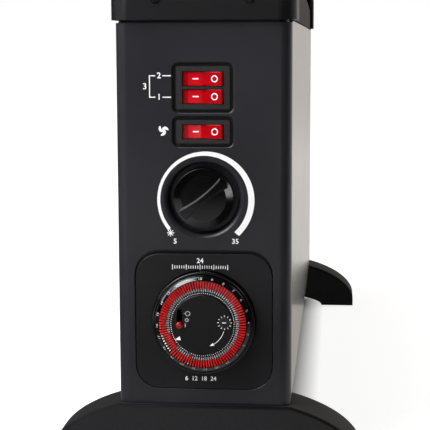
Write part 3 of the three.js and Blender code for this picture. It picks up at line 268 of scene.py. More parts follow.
def rocker_polycarbonate():
    """Clear-red polycarbonate, polished: deep saturated red under a sharp gloss, with painted light that
    makes the +Y half brighter and a painted shadow that darkens a strip at the +Y tip."""
    material, tree, place, surface = finish("polished_red_polycarbonate", IOR=1.58)
    depth = add(tree, "ShaderNodeTexNoise", {"Vector": place, "Scale": per_mm(5), "Detail": 2.0}).outputs[0]
    across = add(tree, "ShaderNodeSeparateXYZ", {0: place}).outputs["Y"]
    steps = []
    # Painted light and shadow: the first ramp brightens the +Y half as if lit, the second darkens a strip at
    # the +Y tip as the bezel's painted shadow.
    for start, end, dim, bright in ((-1, 2, 0.25, 0.7), (8.3, 9, 0.0, 0.65)):
        span = {"From Min": start * MM, "From Max": end * MM, "To Min": dim, "To Max": bright}
        step = add(tree, "ShaderNodeMapRange", {"Value": across, **span}, interpolation_type="SMOOTHSTEP")
        steps.append(step.outputs[0])
    painted_lit_half, rim = steps
    lit = add(tree, "ShaderNodeMath", {0: painted_lit_half, 1: rim}, operation="SUBTRACT").outputs[0]
    tone = add(tree, "ShaderNodeMath", {0: depth, 1: 0.3, 2: lit}, operation="MULTIPLY_ADD").outputs[0]
    drive(tree, surface, two_tones(tree, tone, "#800206", "#D40A1C", 0.0, 1.0), (depth, 0.07, 0.13))
    return material


def tappet_acetal():
    """Red acetal: a waxy semi-gloss, with a faint mottle in its red."""
    return one_grain("moulded_red_acetal", 2.4, 3.0, ("#B4080D", "#DA1C1C"), (0.28, 0.42), IOR=1.48)


def galvanised_steel():
    """Hot-dip galvanised sheet: grey zinc crystals about 7 mm across, each of its own sheen."""
    material, tree, place, surface = finish("galvanised_sheet_steel", Metallic=1.0)
    crystal = add(tree, "ShaderNodeTexVoronoi", {"Vector": place, "Scale": per_mm(7)})
    tone = add(tree, "ShaderNodeSeparateColor", {"Color": crystal.outputs["Color"]}).outputs[0]
    drive(tree, surface, two_tones(tree, tone, "#9A9EA2", "#B9BCBF", 0.1, 0.9), (tone, 0.32, 0.5))
    return material


def extruded_aluminium():
    """Mill-finish aluminium with fine die lines along the extrusion, 0.4 mm apart."""
    material, tree, place, surface = finish("extruded_aluminium", Metallic=1.0)
    squeeze = add(tree, "ShaderNodeMapping", {"Vector": place, "Scale": (0.01, 1.0, 1.0)}).outputs[0]
    along = {"Vector": squeeze, "Scale": per_mm(0.4), "Detail": 3.0}
    lines = add(tree, "ShaderNodeTexNoise", along).outputs[0]
    drive(tree, surface, two_tones(tree, lines, "#BFC0C2", "#D2D3D4"), (lines, 0.25, 0.42), (lines, 0.15))
    return material


def steatite():
    """Unglazed steatite ceramic: matt cream with fine grey specks."""
    return one_grain("pressed_steatite", 0.8, 2.0, ("#B5AD9C", "#E6E0D2", 0.3, 0.42), IOR=1.6, Roughness=0.7)


def black_zinc():
    """Steel screws plated in black zinc: dark metal, a little brighter in patches where it is rubbed."""
    return one_grain("black_zinc_plate", 1.2, 4.0, ("#2B2B2E", "#55565A", 0.4, 0.8), (0.25, 0.45),
                     Metallic=1.0)


def phenolic():
    """Brown phenolic moulding compound: dark, with a reddish fibre mottle."""
    return one_grain("moulded_phenolic", 3, 5.0, ("#2A1C16", "#4A3022"), (0.35, 0.5), IOR=1.6)


def lamination_steel():
    """Stacked motor laminations 0.5 mm thick under varnish: fine dark lines across warm steel."""
    material, tree, place, surface = finish("varnished_laminations", Metallic=1.0)
    sheets = {"Vector": place, "Scale": per_mm(0.5) / TURN, "Distortion": 0.4}
    stack = add(tree, "ShaderNodeTexWave", sheets, bands_direction="Z").outputs["Color"]
    drive(tree, surface, two_tones(tree, stack, "#6E5A4A", "#A58E76", 0.1, 0.6), (stack, 0.5, 0.32))
    return material


def natural_nylon():
    """Uncoloured nylon: milky off-white, slightly see-through, with soft gloss."""
    return one_grain("natural_moulded_nylon", 14, 3.0, ("#CFCBBE", "#DEDACF"), (0.35, 0.48),
                     IOR=1.53, Subsurface_Weight=0.15)


def printing_ink(name, dark, light):
    """Pad-printed ink: dense matt colour, thinned a little in places by the pad."""
    return one_grain(name, 1.1, 3.0, (dark, light, 0.2, 0.4), IOR=1.5, Roughness=0.6)


FINISH = {
    "moulding": moulded_abs("satin_panel_abs", "#201F24", "#27262B", 0.35),
    "painted_steel": stoved_enamel(),
    "gloss_black": polished_abs(),
    "bezel_black": moulded_nylon(),
    "rocker_red": rocker_polycarbonate(),
    "tappet_red": tappet_acetal(),
    "galvanised": galvanised_steel(),
    "aluminium": extruded_aluminium(),
    "ceramic": steatite(),
    "screw_black": black_zinc(),
    "bakelite": phenolic(),
    "motor_steel": lamination_steel(),
    "fan_nylon": natural_nylon(),
}
FOOT_FINISH = etched_abs()
CAP_FINISH = satin_cap_abs()
PLATE_FINISH = moulded_abs("satin_plate_abs", "#18181A", "#1E1E20", 0.2)
GRILLE_FINISH = textured_powder()
DISC_FINISH = fine_matt_abs()
WHITE_INK = printing_ink("pad_printed_white_ink", "#DCDCE0", "#F4F4F6")
GREY_INK = printing_ink("pad_printed_grey_ink", "#7E8288", "#A4A8AE")

# ---------------------------------------------------------------- shape tools


def body_of_mesh(name, bm):
    """Links a bmesh, drawn in mm, as an object in metres."""
    bmesh.ops.recalc_face_normals(bm, faces=bm.faces)
    bmesh.ops.scale(bm, vec=(MM, MM, MM), verts=bm.verts)
    mesh = bpy.data.meshes.new(name)
    bm.to_mesh(mesh)
    bm.free()
    body = bpy.data.objects.new(name, mesh)
    bpy.context.scene.collection.objects.link(body)
    return body


def loft(name, rings, loop=False):
    """Closed body through matching rings of points. A loop joins its last ring to the first."""
    bm = bmesh.new()
    made = [[bm.verts.new(point) for point in ring] for ring in rings]
    pairs = list(zip(made, made[1:])) + ([(made[-1], made[0])] if loop else [])
    for low, high in pairs:
        for k in range(max(len(low), len(high))):
            corners = [low[k % len(low)], low[(k + 1) % len(low)],
                       high[(k + 1) % len(high)], high[k % len(high)]]
            if len(set(corners)) > 2:
                bm.faces.new(list(dict.fromkeys(corners)))
    for end in (made[0], made[-1]):
        if not loop and len(end) > 1:
            bm.faces.new(end)
    return body_of_mesh(name, bm)


def fillet(points, radius, steps=4):
    """A closed 2-D outline with its corners rounded, all by one radius or each by its own."""
    sizes = radius if isinstance(radius, (list, tuple)) else [radius] * len(points)
    outline = []
    for i, size in enumerate(sizes):
        corner = Vector(points[i])
        back, on = (Vector(points[j % len(points)]) - corner for j in (i - 1, i + 1))
        bend = back.angle(on)
        if size <= 0 or bend > math.pi - 0.01:
            outline.append(tuple(corner))
            continue
        reach = min(size / math.tan(bend / 2), 0.49 * back.length, 0.49 * on.length)
        centre = corner + (back.normalized() + on.normalized()).normalized() * (reach / math.cos(bend / 2))
        start, end = (corner + side.normalized() * reach - centre for side in (back, on))
        swing = start.angle_signed(end)
        for k in range(steps + 1):
            outline.append(tuple(centre + Matrix.Rotation(-swing * k / steps, 2) @ start))
    return outline


def inset(outline, depth):
    """A closed 2-D outline drawn anticlockwise, with every side moved in by depth."""
    moved = []
    for i, point in enumerate(outline):
        here = Vector(point)
        come = (here - Vector(outline[i - 1])).normalized()
        leave = (Vector(outline[(i + 1) % len(outline)]) - here).normalized()
        push = Vector((-come.y - leave.y, come.x + leave.x))
        moved.append(tuple(here + push * (depth / (1 + come.dot(leave)))))
    return moved


def rounded(width, height, radius, middle=(0, 0), steps=6):
    """Rounded rectangle about middle."""
    x, y = middle
    corners = [(x - width / 2, y - height / 2), (x + width / 2, y - height / 2),
               (x + width / 2, y + height / 2), (x - width / 2, y + height / 2)]
    return fillet(corners, radius, steps)


def circle(radius, middle, steps):
    angles = [TURN * k / steps for k in range(steps)]
    return [(middle[0] + radius * math.cos(a), middle[1] + radius * math.sin(a)) for a in angles]


def prism(name, outline, span, along="z"):
    """Straight body along x, y or z, between the two places in span. Its outline is drawn in the other two
    axes, in their order."""
    at = "xyz".index(along)
    return loft(name, [[(*point[:at], place, *point[at:]) for point in outline] for place in span])


def box(name, x, y, z):
    return prism(name, [(x[0], y[0]), (x[1], y[0]), (x[1], y[1]), (x[0], y[1])], z)


def out_from_face(points, out):
    """Places (y, z) points on a plane that stands out mm from the control end's face."""
    return [(FACE - out, y, z) for y, z in points]


def slab(name, outline, low, high):
    """Plate between two distances out from the control end's face."""
    return loft(name, [out_from_face(outline, low), out_from_face(outline, high)])


def turned(name, profile, middle, steps=96):
    """Body turned about an axis through middle (y, z): the profile is (radius, out) down its section."""
    y, z = middle
    rings = []
    for radius, out in profile:
        count = steps if radius > 0 else 1
        angles = [TURN * k / count for k in range(count)]
        rings.append([(FACE - out, y + radius * math.cos(a), z + radius * math.sin(a)) for a in angles])
    return loft(name, rings, loop=profile[0][0] > 0)


def plug(name, radius, start, end, middle, steps=96):
    """Cylinder about middle, between two distances out from the face."""
    return turned(name, [(0, start), (radius, start), (radius, end), (0, end)], middle, steps)


def freeze(body):
    """Makes the result of a body's modifiers its own mesh."""
    shape = body.evaluated_get(bpy.context.evaluated_depsgraph_get())
    mesh = bpy.data.meshes.new_from_object(shape)
    body.modifiers.clear()
    body.data = mesh


def carve(body, *tools, how="DIFFERENCE"):
    """Cuts each tool from the body, or joins or shares it. The tools are used up."""
    for tool in tools:
        step = body.modifiers.new("carve", "BOOLEAN")
        step.object = tool
        step.operation = how
        step.solver = "EXACT"
    freeze(body)
    for tool in tools:
        bpy.data.objects.remove(tool)
    return body


def soften(body, edge, turn=28, segments=2):
    """Joins the facets, rounds every edge sharper than turn by edge mm, and shades the faces smooth."""
    body.data.shade_smooth()
    weld = body.modifiers.new("weld", "WELD")
    weld.merge_threshold = 0.002 * MM
    flat = body.modifiers.new("flat", "DECIMATE")
    flat.decimate_type = "DISSOLVE"
    flat.angle_limit = math.radians(0.6)
    bevel = body.modifiers.new("edge", "BEVEL")
    bevel.width = edge * MM
    bevel.segments = segments
    bevel.limit_method = "ANGLE"
    bevel.angle_limit = math.radians(turn)
    normals = body.modifiers.new("normals", "WEIGHTED_NORMAL")
    normals.keep_sharp = False


def shade(body, turn=35):
    """Shades a finely drawn body smooth, but for its edges sharper than turn."""
    body.data.shade_smooth()
    body.data.set_sharp_from_angle(angle=math.radians(turn))


def dress(piece, slot, body="casing", material=None, stands_for=()):
    """Gives a piece its finish, its moving body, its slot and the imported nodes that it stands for."""
    piece.data.materials.clear()
    piece.data.materials.append(material or FINISH[slot])
    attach(piece, body)
    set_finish(piece, slot)
    if stands_for:
        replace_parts(piece, *stands_for)
    return piece


def limits(node):
    """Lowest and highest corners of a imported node, in mm."""
    low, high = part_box(node)
    return low / MM, high / MM


def middle_of(node):
    """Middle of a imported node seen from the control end, as (y, z) in mm."""
    low, high = limits(node)
    return ((low.y + high.y) / 2, (low.z + high.z) / 2)


FACE = limits("control_end_panel")[0].x
BODY_LOW, BODY_HIGH = limits("control_end_panel")

# ---------------------------------------------------------------- end panel with its recesses

WALL = 2.5
GAP = 0.3
HALF_DEPTH = BODY_HIGH.y
SEAM = limits("control_top_cap")[0].z
FOOT_LINE = BODY_LOW.z
KNOB = middle_of("thermostat_body")
TIMER = middle_of("timer_faceplate")
CAP_SCREW = middle_of("cap_screw_2")
SCREW_HOLE = 1.9
SWITCHES = ("double_switch_housing", "fan_switch_housing")
BACKING_HALF = 19.9
BACKING_EDGE = 4.4
POCKET_MARGIN = 1.9
POCKET_CORNER = 3.4
POCKET_DEPTH = 3.0
POCKET_LIP = 1.2
CUP_RADIUS = 23.5
RIM = 86.0  # backing behind the timer's groove
RIM_CORNER = 16.5
DISH_RADIUS = 21.0
DISH_LIP = 3.0
DISH_DEPTH = 9.0
END_WRAP = 14.0
CORNER = 8.5
SHADOW_GAP = 1.6
SHADOW_DEPTH = 2.0
PLATE = 80.4
PLATE_CORNER = 14.0
CASE_HOLE = 30.5
SEAT_SIZE = (81.0, 82.6)  # the timer plate's seat, with more room above the plate than round it
SEAT_MIDDLE = (TIMER[0], TIMER[1] + 0.8)
SEAT_CORNER = 14.3


def quarter(steps=6):
    """Share in and share down of a rolled edge, from its top to its bottom."""
    return [(1 - math.sin(a), 1 - math.cos(a)) for a in (math.pi / 2 * k / steps for k in range(steps + 1))]


def flared_pocket(name, size, middle, corner, depth, lip):
    """Cutter for a recess whose mouth rolls outwards by lip."""
    rings = [(lip, 1.0)] + [(lip * spread, -lip * drop) for spread, drop in quarter()] + [(0, -depth)]
    shape = []
    for grow, out in rings:
        outline = rounded(size[0] + 2 * grow, size[1] + 2 * grow, corner + grow, middle)
        shape.append(out_from_face(outline, out))
    return loft(name, shape)


def end_plan(inset, reach):
    """Body outline seen from above at the control end, inset from its outer face."""
    side = HALF_DEPTH - inset
    front = FACE + inset
    corners = [(reach, -side), (front, -side), (front, side), (reach, side)]
    radius = CORNER - inset
    return fillet(corners, [0, radius, radius, 0], 12)


def end_shell(reach):
    """The wrapped end with the tongues, lugs and backings that stand on its inner face."""
    shell = prism("control_end", end_plan(0, reach), (FOOT_LINE, SEAM))
    carve(shell, prism("hollow", end_plan(WALL, reach + 1), (FOOT_LINE - 1, SEAM + 1)))
    screw_y, screw_z = CAP_SCREW
    joins = []
    for side in (-1, 1):
        tongue = sorted((side * (HALF_DEPTH - WALL), side * (HALF_DEPTH - 1.3)))
        joins.append(box("tongue", (reach - 2, reach + 6), tongue, (FOOT_LINE + 3, SEAM - 3)))
        lug = (side * screw_y - 6.2, side * screw_y + 6.2)
        joins.append(box("lug", (FACE, FACE + WALL), lug, (SEAM - 1, screw_z + 4.65)))
    switch_low, switch_high = limits(SWITCHES[1])[0], limits(SWITCHES[0])[1]
    upright = (switch_low.z - BACKING_EDGE, switch_high.z + BACKING_EDGE)
    joins.append(box("backing", (FACE + 0.5, FACE + 5.5), (-BACKING_HALF, BACKING_HALF), upright))
    joins.append(plug("cup", CUP_RADIUS, -0.5, -11.5, KNOB, 48))
    joins.append(slab("rim", rounded(RIM, RIM, RIM_CORNER, TIMER, 10), -0.5, -4.3))
    return carve(shell, *joins, how="UNION")


def switch_cuts():
    cuts = []
    for housing in SWITCHES:
        low, high = limits(housing)
        size = (high.y - low.y, high.z - low.z)
        middle = middle_of(housing)
        pocket = (size[0] + 2 * POCKET_MARGIN, size[1] + 2 * POCKET_MARGIN)
        cuts.append(flared_pocket("pocket", pocket, middle, POCKET_CORNER, POCKET_DEPTH, POCKET_LIP))
        cuts.append(slab("opening", rounded(size[0] - 2, size[1] - 2, 0.1, middle, 1), 1, -7))
    return cuts


def dish_cuts():
    dish = [(0, 1), (DISH_RADIUS + DISH_LIP, 1)]
    dish += [(DISH_RADIUS + DISH_LIP * spread, -DISH_LIP * drop) for spread, drop in quarter(8)]
    dish += [(DISH_RADIUS, 1 - DISH_DEPTH), (DISH_RADIUS - 1, -DISH_DEPTH), (0, -DISH_DEPTH)]
    return [turned("dish", dish, KNOB), plug("bush_hole", 5.3, 1, -13, KNOB, 48)]


def timer_cuts():
    """Seat of the timer plate, the dark groove round the plate and the hole for the case."""
    groove = slab("groove", rounded(*SEAT_SIZE, SEAT_CORNER, SEAT_MIDDLE, 12), 0.5, -3.6)
    core = slab("core", rounded(PLATE + 0.2, PLATE + 0.2, PLATE_CORNER + 0.1, TIMER, 12), 1, -4)
    return [flared_pocket("seat", SEAT_SIZE, SEAT_MIDDLE, SEAT_CORNER, 1.8, 0.7), carve(groove, core),
            plug("case_hole", CASE_HOLE, 1, -6, TIMER)]


def make_control_end():
    reach = FACE + END_WRAP
    shell = end_shell(reach)
    shadow = prism("shadow_gap", end_plan(-1, reach + 1), (SEAM - SHADOW_GAP, SEAM + 1))
    cuts = [carve(shadow, prism("core", end_plan(SHADOW_DEPTH, reach + 2), (SEAM - 2, SEAM + 2)))]
    for side in (-1, 1):
        cuts.append(plug("pilot", SCREW_HOLE, 1, -WALL - 1, (side * CAP_SCREW[0], CAP_SCREW[1]), 24))
    carve(shell, *cuts, *switch_cuts(), *dish_cuts(), *timer_cuts())
    soften(shell, 0.35)
    dress(shell, "moulding", stands_for=["control_end_panel"])


def make_faceplate():
    plate = slab("timer_plate", rounded(PLATE, PLATE, PLATE_CORNER, TIMER, 12), -1.5, 0)
    carve(plate, plug("hole", CASE_HOLE, 1, -3, TIMER))
    soften(plate, 0.5, segments=3)
    dress(plate, "moulding", material=PLATE_FINISH, stands_for=["timer_faceplate"])


make_control_end()
make_faceplate()

# ---------------------------------------------------------------- thermostat knob

KNOB_RADIUS = 17.6
KNOB_PROUD = 4.0
KNOB_BACK = -8.0
KNOB_DECK = -0.4
DECK_FLAT = 13.1
DECK_FALL = 0.47
BAR_END = 15.5
BAR_ANGLE = math.radians(-38)  # turn of the finger bar from upright
BAR_WAIST = 3.0
BAR_ARC = 74.0  # radius of the bar's hollow sides
KNOB_BUSH = 5.6


def make_knob():
    """Flat polished deck with a waisted bar across it. The deck falls away a little towards its edge."""
    section = [(KNOB_BUSH, KNOB_BACK), (KNOB_RADIUS, KNOB_BACK), (KNOB_RADIUS, KNOB_DECK - DECK_FALL),
               (DECK_FLAT + 0.25, KNOB_DECK - 0.013), (DECK_FLAT, KNOB_DECK), (0, KNOB_DECK),
               (0, KNOB_DECK - 2), (KNOB_BUSH, KNOB_DECK - 2)]
    knob = turned("knob", fillet(section, [0, 0, 0.25, 0, 0, 0, 0, 0], 6), KNOB)
    y, z = KNOB
    root = KNOB_DECK - 0.6
    bar = plug("bar", BAR_END, root, KNOB_PROUD, KNOB)
    sides = []
    for side in (-1, 1):
        reach = side * (BAR_ARC + BAR_WAIST / 2)
        middle = (y - reach * math.sin(BAR_ANGLE), z + reach * math.cos(BAR_ANGLE))
        lean = [(0, root - 1), (BAR_ARC - 0.5, root - 1), (BAR_ARC, KNOB_PROUD + 0.5), (0, KNOB_PROUD + 0.5)]
        sides.append(turned("side", lean, middle, 240))
    carve(bar, *sides)
    carve(knob, bar, how="UNION")
    soften(knob, 0.3, segments=3)
    dress(knob, "gloss_black", "thermostat_knob", stands_for=["thermostat_knob"])


# ---------------------------------------------------------------- 24 hour timer

CASE_RADIUS = 30.2
CASE_WALL = 1.3
CASE_PROUD = 5.0
CUP_FLOOR = -3.0
FLANGE_FRONT = -4.3
FLANGE_RADIUS = 34.0
BARREL_RADIUS = 27.0
BARREL_BACK = FLANGE_FRONT - 30
DIAL_EDGE = CASE_RADIUS - CASE_WALL - GAP
DIAL_LAND = DIAL_EDGE - 0.7  # where the dial's sloping number ring starts
DIAL_EDGE_PROUD = 6.5
DIAL_CROWN = 8.6
CHANNEL = (19.2, 25.7)
CHANNEL_FLOOR = 6.2
DISC_RADIUS = 17.7
DISC_PROUD = 9.8
TAPPETS = 96
TAPPET_OUTER = 25.4
TAPPET_LENGTH = 4.0
TAPPET_PROUD = 9.6
TAPPET_TRAVEL = 1.9
TAIL_OUTER = 21.2
PUSHED = (77, *range(85, 92))
HOURS = 24
POST = 4.0
DISC_FACE = DISC_PROUD - 2.6  # back of the disc's front wall
MINUTE_SEAT = DISC_PROUD - 1.4
SLIDER = 13.3
SLIDER_TRAVEL = 7.5
MINUTE = middle_of("minute_hand")
MINUTE_RADIUS = 3.1
BUTTON_RADIUS = 1.9
BUTTON_HEIGHT = 2.4
SLOT_WIDTH = 3.1
DISC_RIM = DISC_RADIUS - 0.9  # inner face of the disc's skirt


def make_timer_case():
    flange_back = FLANGE_FRONT - 2
    section = [(0, CUP_FLOOR), (DIAL_EDGE + GAP, CUP_FLOOR), (DIAL_EDGE + GAP, CASE_PROUD),
               (CASE_RADIUS, CASE_PROUD), (CASE_RADIUS, FLANGE_FRONT), (FLANGE_RADIUS, FLANGE_FRONT),
               (FLANGE_RADIUS, flange_back), (BARREL_RADIUS, flange_back), (BARREL_RADIUS, BARREL_BACK),
               (0, BARREL_BACK)]
    section = fillet(section, [0, 0, 0.3, 0.5, 0, 0.3, 0.3, 0, 1.0, 0], 3)
    case = turned("timer_cup", section, TIMER, 120)
    carve(case, plug("seat", POST + GAP, CUP_FLOOR + 1, -9.3, TIMER, 32))
    shade(case)
    dress(case, "gloss_black", stands_for=["timer_case"])


def make_timer_dial():
    bore = DISC_RADIUS + GAP
    back = CUP_FLOOR + GAP
    section = [(bore, back), (DIAL_EDGE, back),
               (DIAL_EDGE, DIAL_EDGE_PROUD), (DIAL_LAND, DIAL_EDGE_PROUD),
               (CHANNEL[1], DIAL_CROWN), (CHANNEL[1], CHANNEL_FLOOR), (CHANNEL[0], CHANNEL_FLOOR),
               (CHANNEL[0], DIAL_CROWN), (bore, DIAL_CROWN)]
    section = fillet(section, [0, 0, 0.3, 0.4, 0.25, 0, 0, 0.15, 0.2], 3)
    dial = turned("dial_ring", section, TIMER, 120)
    shade(dial)
    dress(dial, "gloss_black", "timer_dial", stands_for=["timer_dial"])


def on_timer(radius, angle, out):
    """Place at an angle clockwise from the top, as seen from the control end."""
    return (FACE - out, TIMER[0] - radius * math.sin(angle), TIMER[1] + radius * math.cos(angle))


def radial_bars(name, inner, outer, width, low, high, crest=1.0, skip=()):
    """A bar for each tappet in one mesh. Each one's top is crest times its foot's width, and inner and outer
    may be functions of the bar's number."""
    bm = bmesh.new()
    for i in range(TAPPETS):
        if i in skip:
            continue
        middle = TURN * (i + 0.5) / TAPPETS
        near, far = (end(i) if callable(end) else end for end in (inner, outer))
        corners = []
        for out, half in ((low, width / 2), (high, width * crest / 2)):
            for radius, side in ((near, -1), (near, 1), (far, 1), (far, -1)):
                corners.append(bm.verts.new(on_timer(radius, middle + side * half / radius, out)))
        for face in ((0, 1, 2, 3), (4, 5, 6, 7), (0, 1, 5, 4), (1, 2, 6, 5), (2, 3, 7, 6), (3, 0, 4, 7)):
            bm.faces.new([corners[k] for k in face])
    return body_of_mesh(name, bm)


def pushed_in(i):
    """Tappets are numbered clockwise from the top here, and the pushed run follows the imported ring."""
    return (i + TAPPETS // 4) % TAPPETS in PUSHED


def make_tappets():
    base = CHANNEL_FLOOR + GAP
    near, far = CHANNEL[0] + GAP, CHANNEL[1] - GAP
    strip = [(near, base), (far, base), (far, base + 0.8), (near, base + 0.8)]
    carrier = turned("tappet_carrier", strip, TIMER, 120)
    shade(carrier)
    dress(carrier, "gloss_black", "timer_dial")

    def outer(i):
        return TAPPET_OUTER - (TAPPET_TRAVEL if pushed_in(i) else 0)

    tips = radial_bars("tappets", lambda i: outer(i) - TAPPET_LENGTH, outer, 1.15, base + 0.4,
                       TAPPET_PROUD, 0.55)
    soften(tips, 0.12)
    dress(tips, "tappet_red", "timer_dial", stands_for=["timer_tappets"])
    tails = radial_bars("tappet_tails", near, TAIL_OUTER, 0.66, base + 0.4, DIAL_CROWN + 0.1, 0.85,
                        skip=[i for i in range(TAPPETS) if pushed_in(i)])
    soften(tails, 0.06)
    dress(tails, "tappet_red", "timer_dial", GREY_INK)


def make_centre_disc():
    section = [(0, DISC_PROUD), (DISC_RADIUS, DISC_PROUD), (DISC_RADIUS, CUP_FLOOR + GAP),
               (DISC_RIM, CUP_FLOOR + GAP), (DISC_RIM, DISC_FACE), (POST, DISC_FACE),
               (POST, -9), (0, -9)]
    disc = turned("centre_disc", fillet(section, [0, 0.5, 0, 0, 0, 0, 0, 0], 4), TIMER)
    middle = (TIMER[0] + SLIDER, TIMER[1] + SLIDER_TRAVEL / 2)
    slot = slab("slot", rounded(SLOT_WIDTH, SLIDER_TRAVEL + SLOT_WIDTH, 0.3, middle, 3), 6.5, 12)
    seat = plug("seat", MINUTE_RADIUS + GAP, 12, MINUTE_SEAT, MINUTE, 48)
    carve(disc, slot, seat, plug("bore", 1.1, 12, 6, MINUTE, 24))
    soften(disc, 0.12)
    dress(disc, "bezel_black", material=DISC_FINISH, stands_for=["timer_centre_disc"])


def make_slider():
    middle = (TIMER[0] + SLIDER, TIMER[1])
    base = DISC_PROUD + GAP
    top = base + BUTTON_HEIGHT
    section = [(0, base), (BUTTON_RADIUS, base), (BUTTON_RADIUS, top), (0, top)]
    knob = turned("slider_button", fillet(section, [0, 0.2, 1.2, 0], 8), middle, 48)
    catch = DISC_FACE - GAP
    stem = slab("stem", rounded(2, 2, 0.2, middle, 2), catch - 0.2, base + 0.5)
    hook = (middle[0] - 0.6, middle[1] - 0.6)
    foot = slab("hook", rounded(3.2, 3.2, 0.2, hook, 2), catch - 0.8, catch)
    carve(knob, stem, foot, how="UNION")
    shade(knob, 40)
    dress(knob, "rocker_red", "override_slider", stands_for=["override_slider"])


def make_minute_hand():
    front = DISC_PROUD - 0.15
    back = MINUTE_SEAT + GAP
    pin = DISC_PROUD - 3.1
    section = [(0, front), (MINUTE_RADIUS, front), (MINUTE_RADIUS, back), (0.8, back), (0.8, pin), (0, pin)]
    hand = turned("minute_wheel", fillet(section, [0, 0.2, 0.1, 0, 0, 0], 3), MINUTE, 48)
    pointer = rounded(3.1, 0.7, 0.3, (MINUTE[0] + 0.3, MINUTE[1]), 3)
    carve(hand, slab("pointer", pointer, DISC_PROUD - 0.4, DISC_PROUD + 0.4), how="UNION")
    shade(hand, 40)
    dress(hand, "bezel_black", "minute_hand", stands_for=["minute_hand"])


make_knob()
make_timer_case()
make_timer_dial()
make_tappets()
make_centre_disc()
make_slider()
make_minute_hand()

# ---------------------------------------------------------------- rockers

ROCKERS = ("high_heat_rocker", "low_heat_rocker", "fan_rocker")
ROCKER_SPAN = 22.8
ROCKER_HEIGHT = 8.0
ROCKER_PIVOT_OUT = -5.3
ROCKER_LEAN = math.radians(-6)  # at rest, half of its swing
ROCKER_DIP = 1.1
ROCKER_SOFT = 0.5
ROCKER_SINK = 1.2
ROCKER_CORNER = (ROCKER_SPAN / 2, 5.0)
ROCKER_RADIUS = math.hypot(*ROCKER_CORNER)
ROCKER_CREST = ROCKER_RADIUS * math.sin(math.atan2(*ROCKER_CORNER[::-1]) - ROCKER_LEAN) - ROCKER_SINK
ROCKER_RISE = math.asin(ROCKER_CREST / ROCKER_RADIUS)
ROCKER_END = ROCKER_RADIUS * math.cos(ROCKER_RISE)
PIN = (1.1, 0.9)  # radius and length of the pivots at both sides


def rocker_top(across):
    """Height of the rocker's top over its pivot, with both ends level: two flats that meet in a soft V."""
    return ROCKER_CREST - ROCKER_DIP * (1 - math.hypot(across, ROCKER_SOFT) / ROCKER_END)


def leant(across, height):
    """Turns a place about the pivot into its resting lean, +Y end pressed in. Gives (y, out)."""
    return (across * math.cos(ROCKER_LEAN) - height * math.sin(ROCKER_LEAN),
            ROCKER_PIVOT_OUT + across * math.sin(ROCKER_LEAN) + height * math.cos(ROCKER_LEAN))


def rocker_outline():
    """Rocker seen from above: its V top, both ends as arcs about the pivot, and a narrow foot."""
    low = math.radians(-12)
    arc = [ROCKER_RISE + (low - ROCKER_RISE) * k / 8 for k in range(1, 9)]
    outline = [(across, rocker_top(across)) for across in (ROCKER_END * (1 - k / 20) for k in range(41))]
    outline += [(-ROCKER_RADIUS * math.cos(a), ROCKER_RADIUS * math.sin(a)) for a in arc]
    outline += [(-2.5, -2.5), (2.5, -2.5)]
    return outline + [(ROCKER_RADIUS * math.cos(a), ROCKER_RADIUS * math.sin(a)) for a in arc[::-1]]


def make_rocker(node):
    height = middle_of(node)[1]
    half = ROCKER_HEIGHT / 2
    places = [leant(*point) for point in rocker_outline()]
    outline = [(FACE - out, y) for y, out in places]
    rocker = prism(node + "_button", outline, (height - half, height + half))
    pivots = circle(PIN[0], (FACE - ROCKER_PIVOT_OUT, 0), 24)
    reach = half + PIN[1]
    carve(rocker, prism("pins", pivots, (height - reach, height + reach)), how="UNION")
    soften(rocker, 0.45, segments=3)
    dress(rocker, "rocker_red", node, stands_for=[node])
    add_rocker_marks(node, height)


def on_rocker(outline):
    """Root and top of a thin ink shape on the rocker's hollow, drawn in (across, z)."""
    rings = []
    for lift in (-0.08, 0.05):
        places = [(*leant(across, rocker_top(across) + lift), z) for across, z in outline]
        rings.append([(FACE - out, y, z) for y, out, z in places])
    return rings


def add_rocker_marks(node, height):
    """A bar for on at the +Y end and a ring for off at the -Y end."""
    mark = loft(node + "_on_mark", on_rocker(rounded(3.6, 0.75, 0.3, (3.9, height), 3)))
    outer, inner = (on_rocker(circle(radius, (-7.3, height), 32)) for radius in (2.0, 1.42))
    ring = loft(node + "_off_mark", outer + inner[::-1], loop=True)
    for piece in (mark, ring):
        shade(piece, 50)
        dress(piece, "rocker_red", node, WHITE_INK)


for rocker_node in ROCKERS:
    make_rocker(rocker_node)

# ---------------------------------------------------------------- feet

FOOT_HIGH = limits("control_foot")[1]
FOOT_HALF = FOOT_HIGH.y
FOOT_TOP = FOOT_HIGH.z
FOOT_TIP = 6.0
FOOT_EDGE = 2.2
FOOT_ARCH = (63.0, 11.5)
FOOT_SCREW = 29.0
POCKETS = ((1.5, 21), (37, 48))
SCREW_WELL = ((4.6, -9), (2.2, 1))  # radius of each step, and its top over the foot's


def arched(width, height, angles):
    return [(width * math.cos(a), height * math.sin(a)) for a in angles]


def foot_outline():
    """Arched foot seen from the end: flat under the body, falling away to both tips, hollow beneath."""
    rise = (FOOT_TOP - FOOT_TIP) / math.sqrt(1 - (HALF_DEPTH / FOOT_HALF) ** 2)
    seat = math.acos(HALF_DEPTH / FOOT_HALF)
    right = [(y, FOOT_TIP + z) for y, z in arched(FOOT_HALF, rise, [seat * k / 28 for k in range(29)])]
    left = [(-y, z) for y, z in reversed(right)]
    under = [(-y, z) for y, z in arched(*FOOT_ARCH, [math.pi * k / 48 for k in range(49)])]
    return [(FOOT_HALF, 0)] + right + left + [(-FOOT_HALF, 0)] + under


